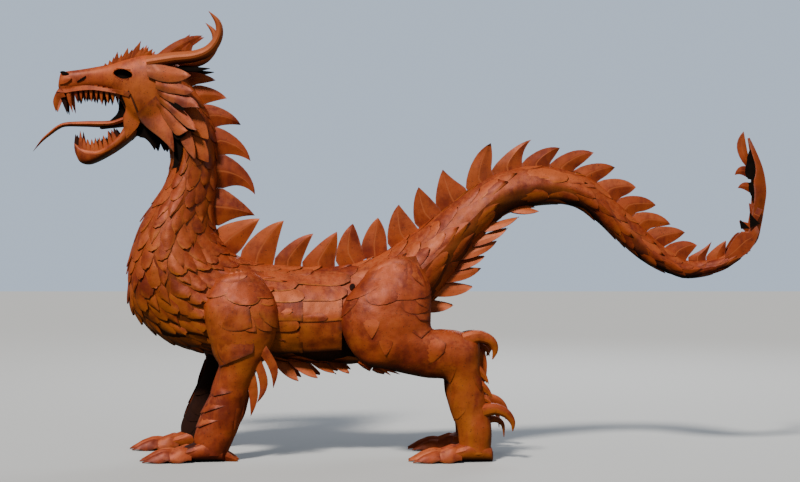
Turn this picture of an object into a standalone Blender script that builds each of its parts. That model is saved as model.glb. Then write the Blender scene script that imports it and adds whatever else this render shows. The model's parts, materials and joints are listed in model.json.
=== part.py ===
# A standing dragon welded from sheet steel: one scaled skin from the nape to the tail, a head
# with an open jaw, a long tongue and horns, folded blades along the back, the belly and under
# the tail, and four legs on flat feet.
# The head looks along -X and the dragon's left side is at -Y. The ground is Z = 0.

import math

import bmesh
import bpy
from mathutils import Vector

# Driving dimensions, in metres
FIGURE_HEIGHT = 3.08  # ground to the tip of the left horn
TRACK = 0.574  # between the centre lines of the left and right feet
STRIDE = 0.175  # how far the right front foot stands ahead of the left one
SHEET = 0.004  # steel sheet at the edge of a blade
WELD_GAP = 0.0005  # left open between a piece and what carries it
SEAM = 0.004  # width of a weld seam
BLADE_GAP = 0.0024  # left open between neighbouring blades
SCALE_LIFT = 0.011  # how far the free end of a skin scale stands off the skin
SCALE_PITCH = 0.12  # from one row of skin scales to the next
SCALE_COLUMNS = 12  # skin scales round the body
EYE_DEPTH = 0.05  # from the side of the brow to the bottom of the eye hole
TAIL_WALL = 0.007  # wall of the folded tail end

# Pose and proportions are drawn on a grid of 440 squares to the figure's height,
# with its origin on the ground below the middle of the figure.
GRID = FIGURE_HEIGHT / 440

# Body sections from the nape to the tail: top x, z, bottom x, z and half width
BODY_SECTIONS = (
    (-216, 381, -243, 333, 17),
    (-188, 332, -229, 302, 19),
    (-183, 282, -234, 272, 23),
    (-186, 238, -257, 234, 32),
    (-182, 218, -267, 204, 37),
    (-168, 202, -271, 174, 41),
    (-148, 193, -263, 140, 42),
    (-126, 189, -215, 107, 42),
    (-80, 187, -110, 93, 40),
    (-30, 195, -28, 97, 38),
    (18, 225, 32, 152, 32),
    (60, 258, 68, 198, 24),
    (100, 282, 102, 238, 19),
    (145, 288, 147, 250, 17),
    (190, 276, 178, 246, 15.5),
    (221, 248, 206, 225, 14),
    (251, 219, 240, 195, 12),
    (276, 199, 269, 181, 10.5),
    (290, 194, 290, 176, 9),
    (320, 197, 324, 185, 7.5),
    (341, 211, 350, 204, 5.5),
)

# Muzzle sections from the nostrils back to the eyes, and cranium sections behind the mouth
MUZZLE_SECTIONS = (
    (-340, 378, -344, 358, 5),
    (-334, 382, -337, 360, 8.5),
    (-318, 385, -320, 364, 9.5),
    (-300, 388, -302, 365, 11.5),
    (-284, 391, -287, 362, 14.5),
    (-268, 396, -272, 356, 17),
)
CRANIUM_SECTIONS = (
    (-278, 393, -274, 321, 13),
    (-265, 399, -262, 327, 20),
    (-248, 401, -249, 325, 23),
    (-233, 396, -236, 324, 21.5),
    (-219, 388, -224, 330, 17),
)
JAW_SECTIONS = (
    (-325, 313, -324, 301, 5),
    (-320, 309, -319, 292, 9),
    (-311, 306, -310, 290, 11),
    (-299, 305, -298, 295, 12.5),
    (-288, 311, -283, 304, 14),
    (-279, 320, -272, 312, 14),
    (-274, 331, -262, 320, 13),
)

# Crest blades from the nape to the tail: first notch x, z, tip x, z, bulge of the leading
# edge and of the trailing edge. A blade's second notch is the next blade's first.
CREST_BLADES = (
    (-212, 383, -184, 374, 0.10, 0.02),
    (-204, 370, -173, 356, 0.12, -0.02),
    (-193, 351, -159, 329.5, 0.14, -0.06),
    (-182, 328, -149.5, 293.5, 0.16, -0.10),
    (-174, 300, -145, 260, 0.17, -0.22),
    (-176, 266, -145, 239, 0.05, -0.10),
    (-180, 228.5, -140, 236, 0.06, 0.02),
    (-158, 205.5, -116, 234, 0.12, -0.02),
    (-125, 197.5, -86.5, 221, 0.12, -0.02),
    (-98, 193.5, -63, 223, 0.06, 0.06),
    (-65, 194.5, -47, 231, 0.14, 0.04),
    (-39, 209.5, -22, 237, 0.10, 0.10),
    (-13, 211.5, -1.3, 250, 0.12, 0.00),
    (14, 231.5, 18.6, 267.5, 0.10, 0.02),
    (35, 251.5, 42.7, 285, 0.06, -0.04),
    (65, 267.5, 91, 311.5, 0.16, 0.06),
    (91, 285, 131.5, 315, 0.10, -0.12),
    (122, 292.5, 160, 306.6, 0.16, 0.02),
    (150, 291.5, 193.8, 302, 0.18, 0.04),
    (174, 285, 215, 287, 0.16, 0.06),
    (198, 273.5, 236, 267.4, 0.18, 0.10),
    (221, 257.5, 255.8, 249.3, 0.18, 0.10),
    (237, 242.5, 270.5, 230, 0.18, 0.02),
    (251, 226.5, 285, 222, 0.14, 0.06),
    (266, 209, 297, 209.5, 0.18, 0.02),
    (288, 198, 311.6, 213, -0.06, 0.02),
    (306, 198.5, 326, 214, 0.06, 0.02),
)
CREST_END = (325, 199.5)  # last notch of the crest
CREST_SINK = 16  # how deep a blade's root reaches before the skin cuts it
CREST_END_SINK = 6  # the same for the first and the last blade
CREST_RIB = 0.11  # half thickness at the fold as a share of the root's width

# Blades along the underside: root x, z and tip x, z
BELLY_BLADES = ((-117, 93, -100, 75.5), (-101, 93, -81, 78.5), (-82, 94, -63, 82.5),
                (-66, 95, -50, 83.5))
TAIL_BLADES = ((30, 149, 53, 149.5), (43, 166, 72.5, 168), (53.5, 180, 80.5, 186.5),
               (62, 191, 84.5, 198.5), (72, 203, 96, 213.5), (84, 216, 107, 226.5),
               (95, 229, 118, 237.5), (120, 245, 138, 243))
UNDERSIDE_BLADE_WIDTH = 13

# Front leg sections down from the shoulder: front x, z, back x, z, distance from the middle
# of the figure beyond the foot's own centre line, and half width
FRONT_LEG_SECTIONS = (
    (-186, 168, -130, 170, -8, 13),
    (-191, 151, -119, 149, -3, 17),
    (-188, 127, -121, 122, -1, 17),
    (-181, 107, -130, 102, 0, 15),
    (-175.5, 90, -140, 86, 0, 13),
    (-180, 71, -147.5, 68, 0, 12),
    (-189, 53, -152.5, 51, 0, 12),
    (-196, 36, -157, 32, 0, 12),
    (-200, 22, -163, 18, 0, 13),
    (-197, 7, -168, 6, 0, 12),
)
FRONT_LEG_TOP = (-157, 184, -8)
STRIDE_TOP = 150  # height below which the right front leg leans ahead of the left one
STRIDE_SPAN = 60  # height over which it does so
HOCK = 118  # height of the hind legs' hocks
HOCK_DROP = 6  # how much lower the right one is
HIND_LEG_SECTIONS = (
    (-37, 176, 17, 193, -8, 10),
    (-55, 152, 29, 171, -4, 18),
    (-55, 122, 30, 145, -1, 21),
    (-36, 95, 31, 129, 0, 20),
    (-5, 87, 43, 128, 0, 18),
    (24, 81, 58, 126, 0, 17),
    (44, 79, 76, 117, 0, 16),
    (48, 69, 78, 90, 0, 14),
    (48, 55, 82.5, 64, 0, 13),
    (52, 42, 86, 47, 0, 13),
    (56, 30, 89, 30, 0, 13.5),
    (58, 8, 88, 8, 0, 13),
)
HIND_LEG_TOP = (-8, 197, -9)

THROAT_BACK = -256  # x of the wall at the back of the throat
TROUGH_FLOOR = 4  # from the underside of the lower jaw to the trough in it
TROUGH_SHARE = 0.58  # the trough's width as a share of the jaw's

FRONT_LEG_SKIN = (-206, -106, 84, 196)  # x and z range of the skin that the leg covers
HIND_LEG_SKIN = (-72, 48, 74, 208)
CREST_STRIP = math.radians(22)  # bare skin to each side of the crest and of the belly row


# Placing and interpolation

def at(x, z, y=0.0):
    # A point of the pose grid, in metres
    return Vector((x, y, z)) * GRID


def blend_rows(rows, position):
    # Catmull-Rom interpolation between the rows of a table; position runs from 0 to len - 1
    last = len(rows) - 1
    i = min(int(position), last - 1)
    t = position - i
    before, start, end, after = (rows[min(max(k, 0), last)] for k in (i - 1, i, i + 1, i + 2))
    return tuple(
        0.5 * (2 * b + (c - a) * t + (2 * a - 5 * b + 4 * c - d) * t * t
               + (3 * b - a - 3 * c + d) * t * t * t)
        for a, b, c, d in zip(before, start, end, after)
    )


def smooth_rows(rows, per_span):
    # The table's rows with per_span steps between each pair
    count = (len(rows) - 1) * per_span
    return [blend_rows(rows, k / per_span) for k in range(count + 1)]


def rounded(value, power):
    return math.copysign(abs(value) ** power, value)


# Meshes

def mesh_object(name, points, faces, material):
    mesh = bpy.data.meshes.new(name)
    mesh.from_pydata([tuple(p) for p in points], [], faces)
    tidy = bmesh.new()
    tidy.from_mesh(mesh)
    bmesh.ops.recalc_face_normals(tidy, faces=tidy.faces)
    tidy.to_mesh(mesh)
    tidy.free()
    mesh.materials.append(material)
    made = bpy.data.objects.new(name, mesh)
    bpy.context.scene.collection.objects.link(made)
    return made


def stitch(rings, first_point=None, last_point=None):
    # Points and faces of a tube through rings of equal size, ending in caps or in points
    points = [p for ring in rings for p in ring]
    size = len(rings[0])
    faces = []
    for r in range(len(rings) - 1):
        for k in range(size):
            n = (k + 1) % size
            faces.append((r * size + k, r * size + n, (r + 1) * size + n, (r + 1) * size + k))
    for tip, start in ((first_point, 0), (last_point, (len(rings) - 1) * size)):
        if tip is None:
            faces.append(tuple(range(start, start + size)))
            continue
        points.append(tip)
        faces += [(start + k, start + (k + 1) % size, len(points) - 1) for k in range(size)]
    return points, faces


def section_ring(top, bottom, offset, half_width, sides, power=1.0, grow=0.0):
    # An oval ring standing on the line from bottom to top, both in metres, at y = offset,
    # with a corner at the top and one at the bottom
    centre = (top + bottom) / 2 + Vector((0, offset, 0))
    up = (top - bottom).normalized()
    half_height = (top - bottom).length / 2 + grow
    ring = []
    for k in range(sides):
        turn = 2 * math.pi * k / sides
        across = rounded(math.sin(turn), power) * (half_width + grow)
        along = rounded(math.cos(turn), power) * half_height
        ring.append(centre + up * along + Vector((0, across, 0)))
    return ring


def loft(name, sections, sides, material, power=1.0, per_span=1, grow=0.0, offset=0.0,
         first_point=None, last_point=None):
    # A tube through sections given as top x, z, bottom x, z, (offset), half width
    rings = []
    for row in smooth_rows(sections, per_span):
        beside = offset + (row[4] * GRID if len(row) == 6 else 0)
        rings.append(section_ring(at(row[0], row[1]), at(row[2], row[3]), beside,
                                  row[-1] * GRID, sides, power, grow))
    for end, inner in ((0, 1), (-1, -2)):
        # A grown tube is longer as well
        outward = (sum(rings[end], Vector()) - sum(rings[inner], Vector())).normalized() * grow
        rings[end] = [point + outward for point in rings[end]]
    return mesh_object(name, *stitch(rings, first_point, last_point), material)


def horn(name, path, radii, sides, material, flat=1.0, per_span=2):
    # A round, tapering bar along a smooth path in metres, ending in a point; flat thins it
    rows = [tuple(p) + (r,) for p, r in zip(path, radii)]
    rows = smooth_rows(rows, per_span)
    rings = []
    for i in range(len(rows) - 1):
        here = Vector(rows[i][:3])
        along = (Vector(rows[i + 1][:3]) - Vector(rows[max(i - 1, 0)][:3])).normalized()
        side = (Vector((0, 1, 0)) - along * along.y).normalized()
        up = side.cross(along)
        rings.append([
            here + (side * math.cos(turn) * flat + up * math.sin(turn)) * rows[i][3]
            for turn in (2 * math.pi * (k + 0.5) / sides for k in range(sides))
        ])
    return mesh_object(name, *stitch(rings, last_point=Vector(rows[-1][:3])), material)


def curve_point(start, end, bulge, outward, t):
    # A point on the arch from start to end that rises by bulge times its span
    lift = outward * (end - start).length * bulge * 2
    return start * (1 - t) ** 2 + ((start + end) / 2 + lift) * 2 * t * (1 - t) + end * t * t


def leaf(name, first, second, tip, material, lead=0.1, trail=0.0, rib=0.012, sink=0.05, gap=0.0,
         stations=(0.0, 0.5), downs=None):
    # A folded blade on the root line from first to second: thin edges, a raised fold on both
    # faces, and a root that reaches down by sink into what carries it, square to the root line
    # or along downs, one direction for each of its ends
    across = (second - first).normalized()
    first = first + across * gap / 2
    second = second - across * gap / 2
    middle = (first + second) / 2
    normal = across.cross(tip - middle).normalized()
    down = across.cross(normal).normalized()
    if down.dot(tip - middle) > 0:
        down = -down
    lead_out = (tip - first).cross(normal).normalized()
    if lead_out.dot(second - first) > 0:
        lead_out = -lead_out
    trail_out = (tip - second).cross(normal).normalized()
    if trail_out.dot(first - second) > 0:
        trail_out = -trail_out
    edge = normal * SHEET / 2
    rings = []
    for t in (None, *stations):
        if t is None:
            first_down, second_down = downs or (down, down)
            a, b, fold = first + first_down * sink, second + second_down * sink, 1.0
        else:
            a = curve_point(first, tip, lead, lead_out, t)
            b = curve_point(second, tip, trail, trail_out, t)
            fold = 1 - t
        raised = normal * max(rib * fold, SHEET * 0.7)
        centre = (a + b) / 2
        rings.append([a + edge, centre + raised, b + edge, b - edge, centre - raised, a - edge])
    return mesh_object(name, *stitch(rings, last_point=tip), material)


def apply_boolean(target, tool, operation, keep_tool=False):
    faces, before = len(target.data.polygons), target.data.copy()
    least = faces if operation == "UNION" else faces // 2
    for solver in ("EXACT", "MANIFOLD"):
        cut = target.modifiers.new(operation.lower(), "BOOLEAN")
        cut.operation = operation
        cut.solver = solver
        cut.object = tool
        bpy.context.view_layer.objects.active = target
        bpy.ops.object.modifier_apply(modifier=cut.name)
        if len(target.data.polygons) >= least:
            break
        # The exact solver loses the body in a few cuts and unions
        target.data = before
    if not keep_tool:
        bpy.data.objects.remove(tool)


def weld(target, pieces):
    for piece in pieces:
        apply_boolean(target, piece, "UNION")
    return target


def merge_seams(target):
    # Points that welding leaves closer together than a seam is wide become one, where the
    # piece stays closed
    for seam in (SEAM, SEAM / 2):
        body = bmesh.new()
        body.from_mesh(target.data)
        bmesh.ops.remove_doubles(body, verts=body.verts, dist=seam)
        bmesh.ops.dissolve_degenerate(body, edges=body.edges, dist=seam / 4)
        is_closed = all(part.is_manifold for part in (*body.edges, *body.verts))
        if is_closed:
            body.to_mesh(target.data)
        body.free()
        if is_closed:
            break
    return target


def keep_largest(target):
    # Drops the crumbs that a cut leaves beside the piece
    body = bmesh.new()
    body.from_mesh(target.data)
    islands, seen = [], set()
    for face in body.faces:
        if face in seen:
            continue
        island, reached = [], [face]
        seen.add(face)
        while reached:
            current = reached.pop()
            island.append(current)
            for edge in current.edges:
                for beside in edge.link_faces:
                    if beside not in seen:
                        seen.add(beside)
                        reached.append(beside)
        islands.append(island)
    islands.sort(key=lambda faces: sum(face.calc_area() for face in faces))
    crumbs = [face for island in islands[:-1] for face in island]
    bmesh.ops.delete(body, geom=crumbs, context="FACES")
    body.to_mesh(target.data)
    body.free()


def shade(made, degrees=30):
    made.data.shade_smooth()
    made.data.set_sharp_from_angle(angle=math.radians(degrees))


# Scaled skin

class Skin:
    # The body's tube: evenly spaced rings of lattice points, each ring turned half a column

    def __init__(self):
        rows = smooth_rows(BODY_SECTIONS, 12)
        mids = [at((r[0] + r[2]) / 2, (r[1] + r[3]) / 2) for r in rows]
        lengths = [0.0]
        for a, b in zip(mids, mids[1:]):
            lengths.append(lengths[-1] + (b - a).length)
        self.rows = rows
        self.lengths = lengths
        self.ring_count = 2 * round(lengths[-1] / SCALE_PITCH / 2)  # an even number

    def row(self, share):
        # The section at a share of the body's length
        wanted = share * self.lengths[-1]
        i = next((k for k, s in enumerate(self.lengths[1:]) if s >= wanted), len(self.rows) - 2)
        span = self.lengths[i + 1] - self.lengths[i]
        t = (wanted - self.lengths[i]) / span
        return tuple(a + (b - a) * t for a, b in zip(self.rows[i], self.rows[i + 1]))

    def is_bare(self, point, turn):
        # Skin without raised scales: under the crest, the belly row, the head and the legs
        for middle in (math.pi / 2, 3 * math.pi / 2):
            if abs(turn % (2 * math.pi) - middle) < CREST_STRIP:
                return True
        x, z = point.x / GRID, point.z / GRID
        for x_low, x_high, z_low, z_high in (FRONT_LEG_SKIN, HIND_LEG_SKIN):
            if x_low < x < x_high and z_low < z < z_high:
                return True
        return z > 318 and x < -180

    def build(self, name, material, grow=0.0):
        points, low, high = [], {}, {}
        last = self.ring_count - 1
        for i in range(self.ring_count):
            row = self.row(i / last)
            top, bottom, half_width = at(row[0], row[1]), at(row[2], row[3]), row[4] * GRID
            centre = (top + bottom) / 2
            up = (top - bottom).normalized()
            half_height = (top - bottom).length / 2
            if i in (0, last):
                # A grown skin is longer as well
                centre += Vector((up.z, 0, -up.x)) * (grow if i else -grow)
            lift = min(SCALE_LIFT, 0.12 * half_width)
            for j in range(SCALE_COLUMNS):
                turn = 2 * math.pi * (j + (i % 2) / 2) / SCALE_COLUMNS
                out = Vector((0, math.cos(turn) * half_width, 0)) + up * math.sin(turn) * half_height
                place = centre + out + out.normalized() * grow
                low[i, j] = high[i, j] = len(points)
                points.append(place)
                if 0 < i < last and not self.is_bare(place, turn):
                    high[i, j] = len(points)
                    points.append(place + out.normalized() * lift)
        faces = [tuple(low[0, j] for j in range(SCALE_COLUMNS)),
                 tuple(low[last, j] for j in range(SCALE_COLUMNS))]
        for i in range(1, self.ring_count):
            for j in range(SCALE_COLUMNS):
                left = (i - 1, j if i % 2 else (j - 1) % SCALE_COLUMNS)
                right = (i - 1, (left[1] + 1) % SCALE_COLUMNS)
                tip = (i, j)
                if i == 1:
                    faces.append((low[left], high[tip], low[right]))
                else:
                    root = low[i - 2, j]
                    faces.append((root, low[left], high[tip]))
                    faces.append((root, high[tip], low[right]))
                if high[tip] != low[tip]:
                    faces.append((low[left], low[tip], high[tip]))
                    faces.append((low[right], high[tip], low[tip]))
        for j in range(SCALE_COLUMNS):
            beside = (last, (j - 1) % SCALE_COLUMNS)
            faces.append((low[last - 1, j], low[beside], low[last, j]))
        return mesh_object(name, points, faces, material)


# Head

def mirrored(point, side):
    return Vector((point.x, point.y * side, point.z))


def jaw_line(sections, x, low):
    # Lip height and half width at x along a table of sections; low takes the section's foot
    key = 2 if low else 0
    rows = sorted(sections, key=lambda row: row[key])
    i = next((k for k in range(1, len(rows) - 1) if rows[k][key] >= x), len(rows) - 1)
    a, b = rows[i - 1], rows[i]
    t = (x - a[key]) / (b[key] - a[key])
    return a[key + 1] + (b[key + 1] - a[key + 1]) * t, a[4] + (b[4] - a[4]) * t


def tooth(place, tip, width, side, material):
    path = (mirrored(place, side), mirrored(tip, side))
    return horn("tooth", path, (width, 0), 4, material, per_span=1)


def upper_teeth(material):
    made = []
    for side in (-1, 1):
        # Beak hook, fang and the row behind them
        made.append(tooth(at(-338, 368, 3.5), at(-343.5, 344, 2.5), 4.2 * GRID, side, material))
        made.append(tooth(at(-330, 368, 7), at(-328, 342, 8), 3.2 * GRID, side, material))
        for k in range(7):
            x = -322 + 6.4 * k
            lip, half = jaw_line(MUZZLE_SECTIONS, x, True)
            wide = 0.72 * half
            length = 10 + (1.5 if k % 2 else 0)
            made.append(tooth(at(x + 0.5, lip + 6, wide), at(x - 0.5, lip - length, wide),
                              2.7 * GRID, side, material))
    return made


def lower_teeth(material):
    made = []
    for side in (-1, 1):
        made.append(tooth(at(-319, 300, 6), at(-317.5, 322.5, 6.2), 3.2 * GRID, side, material))
        for k in range(6):
            x = -312 + 6.1 * k
            rim, half = jaw_line(JAW_SECTIONS, x, False)
            wide = 0.76 * half
            made.append(tooth(at(x + 1, rim - 5, wide), at(x - 3, rim + 9.5 + 0.2 * k, wide),
                              2.5 * GRID, side, material))
    return made


# Cheek blades of one side: root middle x, z, distance out, tip x, z, distance out, root width
MANE_BLADES = (
    (-226, 380, 15, -190, 385, 21, 9),
    (-222, 366, 19, -189, 366, 25, 12),
    (-236, 362, 20, -214, 345, 29, 13),
    (-237, 350, 20, -206, 325, 28, 14),
    (-242, 342, 20, -211, 300, 25, 14),
    (-249, 337, 20, -227, 303.5, 23, 17),
)


def mane(material):
    made = []
    for side in (-1, 1):
        for x, z, y, tip_x, tip_z, tip_y, width in MANE_BLADES:
            middle, tip = at(x, z, y), at(tip_x, tip_z, tip_y)
            across = Vector((tip.z - middle.z, 0, middle.x - tip.x)).normalized() * width / 2 * GRID
            made.append(leaf("mane", mirrored(middle + across, side), mirrored(middle - across, side),
                             mirrored(tip, side), material, 0.12, 0.08, 0.16 * width * GRID,
                             7 * GRID))
    return made


def brow_spikes(material):
    # A ragged row over each eye: root x, z, tip x, z, root width
    spikes = ((-284, 390, -279.5, 402, 6), (-275, 392, -270.5, 406, 7),
              (-266, 395, -257, 412.5, 8), (-256, 397, -250, 407, 7))
    made = []
    for side in (-1, 1):
        for x, z, tip_x, tip_z, width in spikes:
            back = 3 if side > 0 else 0
            half = width / 2
            made.append(leaf("spike", at(x - half + back, z, 9 * side), at(x + half + back, z + 1, 9 * side),
                             at(tip_x + back, tip_z - back, 10 * side), material, 0.02, -0.04,
                             1.6 * GRID, 5 * GRID, stations=(0.0,)))
    return made


def face_plates(material):
    # A ridge over each eye, and the plate that covers the hinge of the jaw
    made = []
    for side in (-1, 1):
        ridge = [mirrored(at(x, z, y), side) for x, z, y in
                 ((-291, 386, 10), (-277, 390, 14.5), (-262, 393, 18.5), (-247, 394, 19.5))]
        made.append(horn("brow", ridge, [r * GRID for r in (2.6, 3.4, 3.8, 0)], 6, material, per_span=1))
        made.append(leaf("hinge_plate", mirrored(at(-277, 357, 16), side), mirrored(at(-258, 353, 20), side),
                         mirrored(at(-272.5, 316, 18.5), side), material, 0.06, 0.16, 2.6 * GRID, 4 * GRID))
    return made


def eye_cutter(side, material):
    # An almond-shaped prism that points at the head from its side
    half_length, half_height, tilt = 10.2, 4.4, 0.1
    bottom = 17 * GRID - EYE_DEPTH
    rings = []
    for y in (bottom, 30 * GRID):
        ring = []
        for k in range(10):
            turn = 2 * math.pi * k / 10
            x = half_length * math.cos(turn)
            z = half_height * rounded(math.sin(turn), 1.3) - tilt * x
            ring.append(at(-277 + x, 380.5 + z) + Vector((0, y * side, 0)))
        rings.append(ring)
    return mesh_object("eye_cutter", *stitch(rings), material)


def nostril_cutter(side, material):
    path = (at(-327, 376, 4.5 * side), at(-333, 378.5, 4.5 * side), at(-340, 382, 4.5 * side))
    return horn("nostril_cutter", path, (2.2 * GRID, 3.4 * GRID, 0), 6, material)


def head(skin_cutter, material):
    skull = loft("head_shell", CRANIUM_SECTIONS, 12, material, power=0.85)
    muzzle = loft("muzzle", MUZZLE_SECTIONS, 8, material, power=0.55)
    weld(skull, [muzzle] + face_plates(material) + mane(material) + brow_spikes(material) + upper_teeth(material))
    merge_seams(skull)
    throat = loft("throat", ((-288, 358, -282, 316, 9), (THROAT_BACK, 351, THROAT_BACK, 333, 9)),
                  8, material)
    for cutter in (throat, eye_cutter(-1, material), eye_cutter(1, material),
                   nostril_cutter(-1, material), nostril_cutter(1, material)):
        apply_boolean(skull, cutter, "DIFFERENCE")
    apply_boolean(skull, skin_cutter, "DIFFERENCE", keep_tool=True)
    return skull


def lower_jaw(material):
    jaw = loft("lower_jaw", JAW_SECTIONS, 8, material, power=0.65)
    trough = tuple(
        (x_top, z_top + 14, x_low, z_low + TROUGH_FLOOR, TROUGH_SHARE * half)
        for x_top, z_top, x_low, z_low, half in JAW_SECTIONS[1:-1]
    )
    merge_seams(weld(jaw, lower_teeth(material)))
    apply_boolean(jaw, loft("trough", trough, 8, material), "DIFFERENCE")
    return jaw


def tongue(material):
    path = (at(-250, 340), at(-262, 338.5), at(-276, 334.5), at(-290, 330.5), at(-315, 330.5), at(-334, 330),
            at(-342, 327), at(-350, 321), at(-358, 314), at(-367, 303))
    radii = (3.2 * GRID, 3.2 * GRID, 3.2 * GRID, 3.1 * GRID, 2.6 * GRID, 2.1 * GRID, 1.9 * GRID,
             1.6 * GRID, 1.3 * GRID, 0)
    made = horn("tongue", path, radii, 4, material, flat=2.2, per_span=1)
    wall = THROAT_BACK * GRID - WELD_GAP
    corners = ((-1, 1), (1, 1), (1, 4), (-1, 4))
    apply_boolean(made, mesh_object("throat_wall", *stitch([
        [Vector((x, y, z)) for y, z in corners] for x in (wall, wall + 1)
    ]), material), "DIFFERENCE")
    return made


def horns(material):
    # The right horn is a little shorter and leans further forward
    made = []
    for name, side, shorter, forward in (("horn_left", -1, 0, 0), ("horn_right", 1, 5, 9)):
        path = [at(x - forward * min(2 * lean, 1), z - shorter * lean, (14 + 8 * lean) * side)
                for x, z, lean in ((-244, 392, 0), (-225, 394, 0.1), (-204, 396, 0.3),
                                   (-190, 401, 0.45), (-181.5, 410, 0.6), (-178, 420, 0.75),
                                   (-180, 430, 0.9), (-188.5, 440, 1.0))]
        radii = [r * GRID for r in (6.8, 6.4, 6.0, 5.6, 4.8, 3.8, 2.8, 0)]
        made.append(horn(name, path, radii, 6, material))
    return made


def ear_plumes(material):
    # A long leaf behind each brow that ends in ragged points
    made = []
    for name, side in (("plume_left", -1), ("plume_right", 1)):
        y = 4.2 * side
        body = leaf(name, at(-243, 399, y), at(-226, 397.5, y), at(-196.5, 418, y * 1.5), material,
                    0.13, 0.02, 2.0 * GRID, 5 * GRID)
        upper = leaf("plume_point", at(-225, 408, y * 1.1), at(-213, 405, y * 1.1),
                     at(-209, 419.5, y * 1.3), material, 0.03, -0.05, 1.6 * GRID, 3 * GRID)
        made.append(merge_seams(weld(body, [upper])))
    return made


# Crest, belly row and tail row

def crest(skin_cutter, material):
    made = []
    notches = [at(*row[:2]) for row in CREST_BLADES] + [at(*CREST_END)]
    last = len(notches) - 1
    downs = []
    for i in range(len(notches)):
        along = (notches[min(i + 1, last)] - notches[max(i - 1, 0)]).normalized()
        downs.append(Vector((along.z, 0, -along.x)))
    for i, (_, _, tip_x, tip_z, lead, trail) in enumerate(CREST_BLADES):
        width = (notches[i + 1] - notches[i]).length
        sink = CREST_SINK if 0 < i < last - 1 else CREST_END_SINK
        blade = leaf(f"crest_blade_{i + 1:02d}", notches[i], notches[i + 1], at(tip_x, tip_z),
                     material, lead, trail, CREST_RIB * width, sink * GRID, BLADE_GAP,
                     downs=(downs[i], downs[i + 1]))
        apply_boolean(blade, skin_cutter, "DIFFERENCE", keep_tool=True)
        keep_largest(blade)
        made.append(blade)
    return made


def underside_row(name, row, skin_cutter, material):
    # Blades that point to the tail and stand off the underside
    made = []
    for k, (x, z, tip_x, tip_z) in enumerate(row):
        before, after = row[max(k - 1, 0)], row[min(k + 1, len(row) - 1)]
        half = at(after[0] - before[0], after[1] - before[1]).normalized()
        half *= UNDERSIDE_BLADE_WIDTH / 2 * GRID
        blade = leaf(f"{name}_{k + 1}", at(x, z) - half, at(x, z) + half, at(tip_x, tip_z), material,
                     0.16, 0.0, 0.1 * UNDERSIDE_BLADE_WIDTH * GRID, 7 * GRID, BLADE_GAP)
        apply_boolean(blade, skin_cutter, "DIFFERENCE", keep_tool=True)
        keep_largest(blade)
        made.append(blade)
    return made


# Folded tail end: outer fold x, z, depth of the fold towards the crest and half width
TAIL_END_ROWS = (
    (351, 206, 9, 5.5), (358, 215, 12, 5.5), (361.5, 230, 12, 5.5), (364.5, 247, 12, 6),
    (366.5, 262, 13, 6.5), (365.5, 274, 14, 6.5), (361, 292, 12, 5.5), (355.5, 305, 9, 4),
    (349.5, 317, 4, 1.5),
)


def tail_end(skin_cutter, material):
    wall = TAIL_WALL
    rings = []
    rows = smooth_rows(TAIL_END_ROWS, 1)
    for i, (x, z, depth, half) in enumerate(rows):
        ahead = rows[min(i + 1, len(rows) - 1)]
        behind = rows[max(i - 1, 0)]
        along = at(ahead[0] - behind[0], ahead[1] - behind[1]).normalized()
        inward = Vector((-along.z, 0, along.x))
        fold = at(x, z)
        rim = fold + inward * depth * GRID
        reach = Vector((0, half * GRID, 0))
        thin = Vector((0, min(wall, half * GRID * 0.8), 0))
        rings.append([fold, rim - reach, rim - reach + thin, fold + inward * wall * 1.6,
                      rim + reach - thin, rim + reach])
    made = mesh_object("tail_end", *stitch(rings), material)
    # Thorns on the rims: side, root x, z, second root x, z, tip x, z, bulge of both edges
    thorns = (
        (-1, 344, 214, 352, 222, 340, 223, 0.1), (1, 347, 222, 352, 231, 340, 234, 0.1),
        (-1, 350, 234, 353, 247, 348, 251, 0.1), (1, 352, 256, 353, 265, 338.5, 266.5, 0.1),
        (1, 351, 275, 354, 285, 335.5, 280, 0.1), (1, 350, 288, 355, 303, 344.5, 323.5, 0.24),
    )
    for side, x, z, x_next, z_next, tip_x, tip_z, bulge in thorns:
        y = 4.5 * side
        thorn = leaf("thorn", at(x, z, y), at(x_next, z_next, y), at(tip_x, tip_z, y * 0.8), material,
                     bulge, bulge * 0.4, 1.2 * GRID, 4 * GRID, stations=(0.0, bulge * 2))
        apply_boolean(made, thorn, "UNION")
    apply_boolean(made, skin_cutter, "DIFFERENCE", keep_tool=True)
    return made


# Legs

def foot(heel_x, toe_x, offset, material):
    # Instep with four toes and claws; the sole is cut flat later
    length = heel_x - toe_x
    sections = (
        (heel_x, 12, heel_x - 1, -2, 0, 9), (heel_x - 0.18 * length, 24, heel_x - 0.18 * length, -3, 0, 13),
        (heel_x - 0.42 * length, 18, heel_x - 0.42 * length, -3, 0, 14.5),
        (heel_x - 0.6 * length, 11, heel_x - 0.6 * length, -2, 0, 14),
    )
    made = loft("foot", sections, 8, material, offset=offset)
    toes = []
    for spread in (-1.5, -0.5, 0.5, 1.5):
        y = 7.2 * spread
        reach = toe_x + 2.2 * abs(spread) ** 2
        knuckle = reach + 0.22 * length
        root = heel_x - 0.5 * length
        path = [at(root, 6.5, y), at(knuckle + 3, 7, y * 1.2), at(reach + 9, 4.4, y * 1.36),
                at(reach, 0.9, y * 1.42)]
        radii = [r * GRID for r in (5, 5.4, 3.4, 0)]
        path = [p + Vector((0, offset, 0)) for p in path]
        toes.append(horn("toe", path, radii, 4, material, per_span=1))
    return weld(made, toes)


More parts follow.
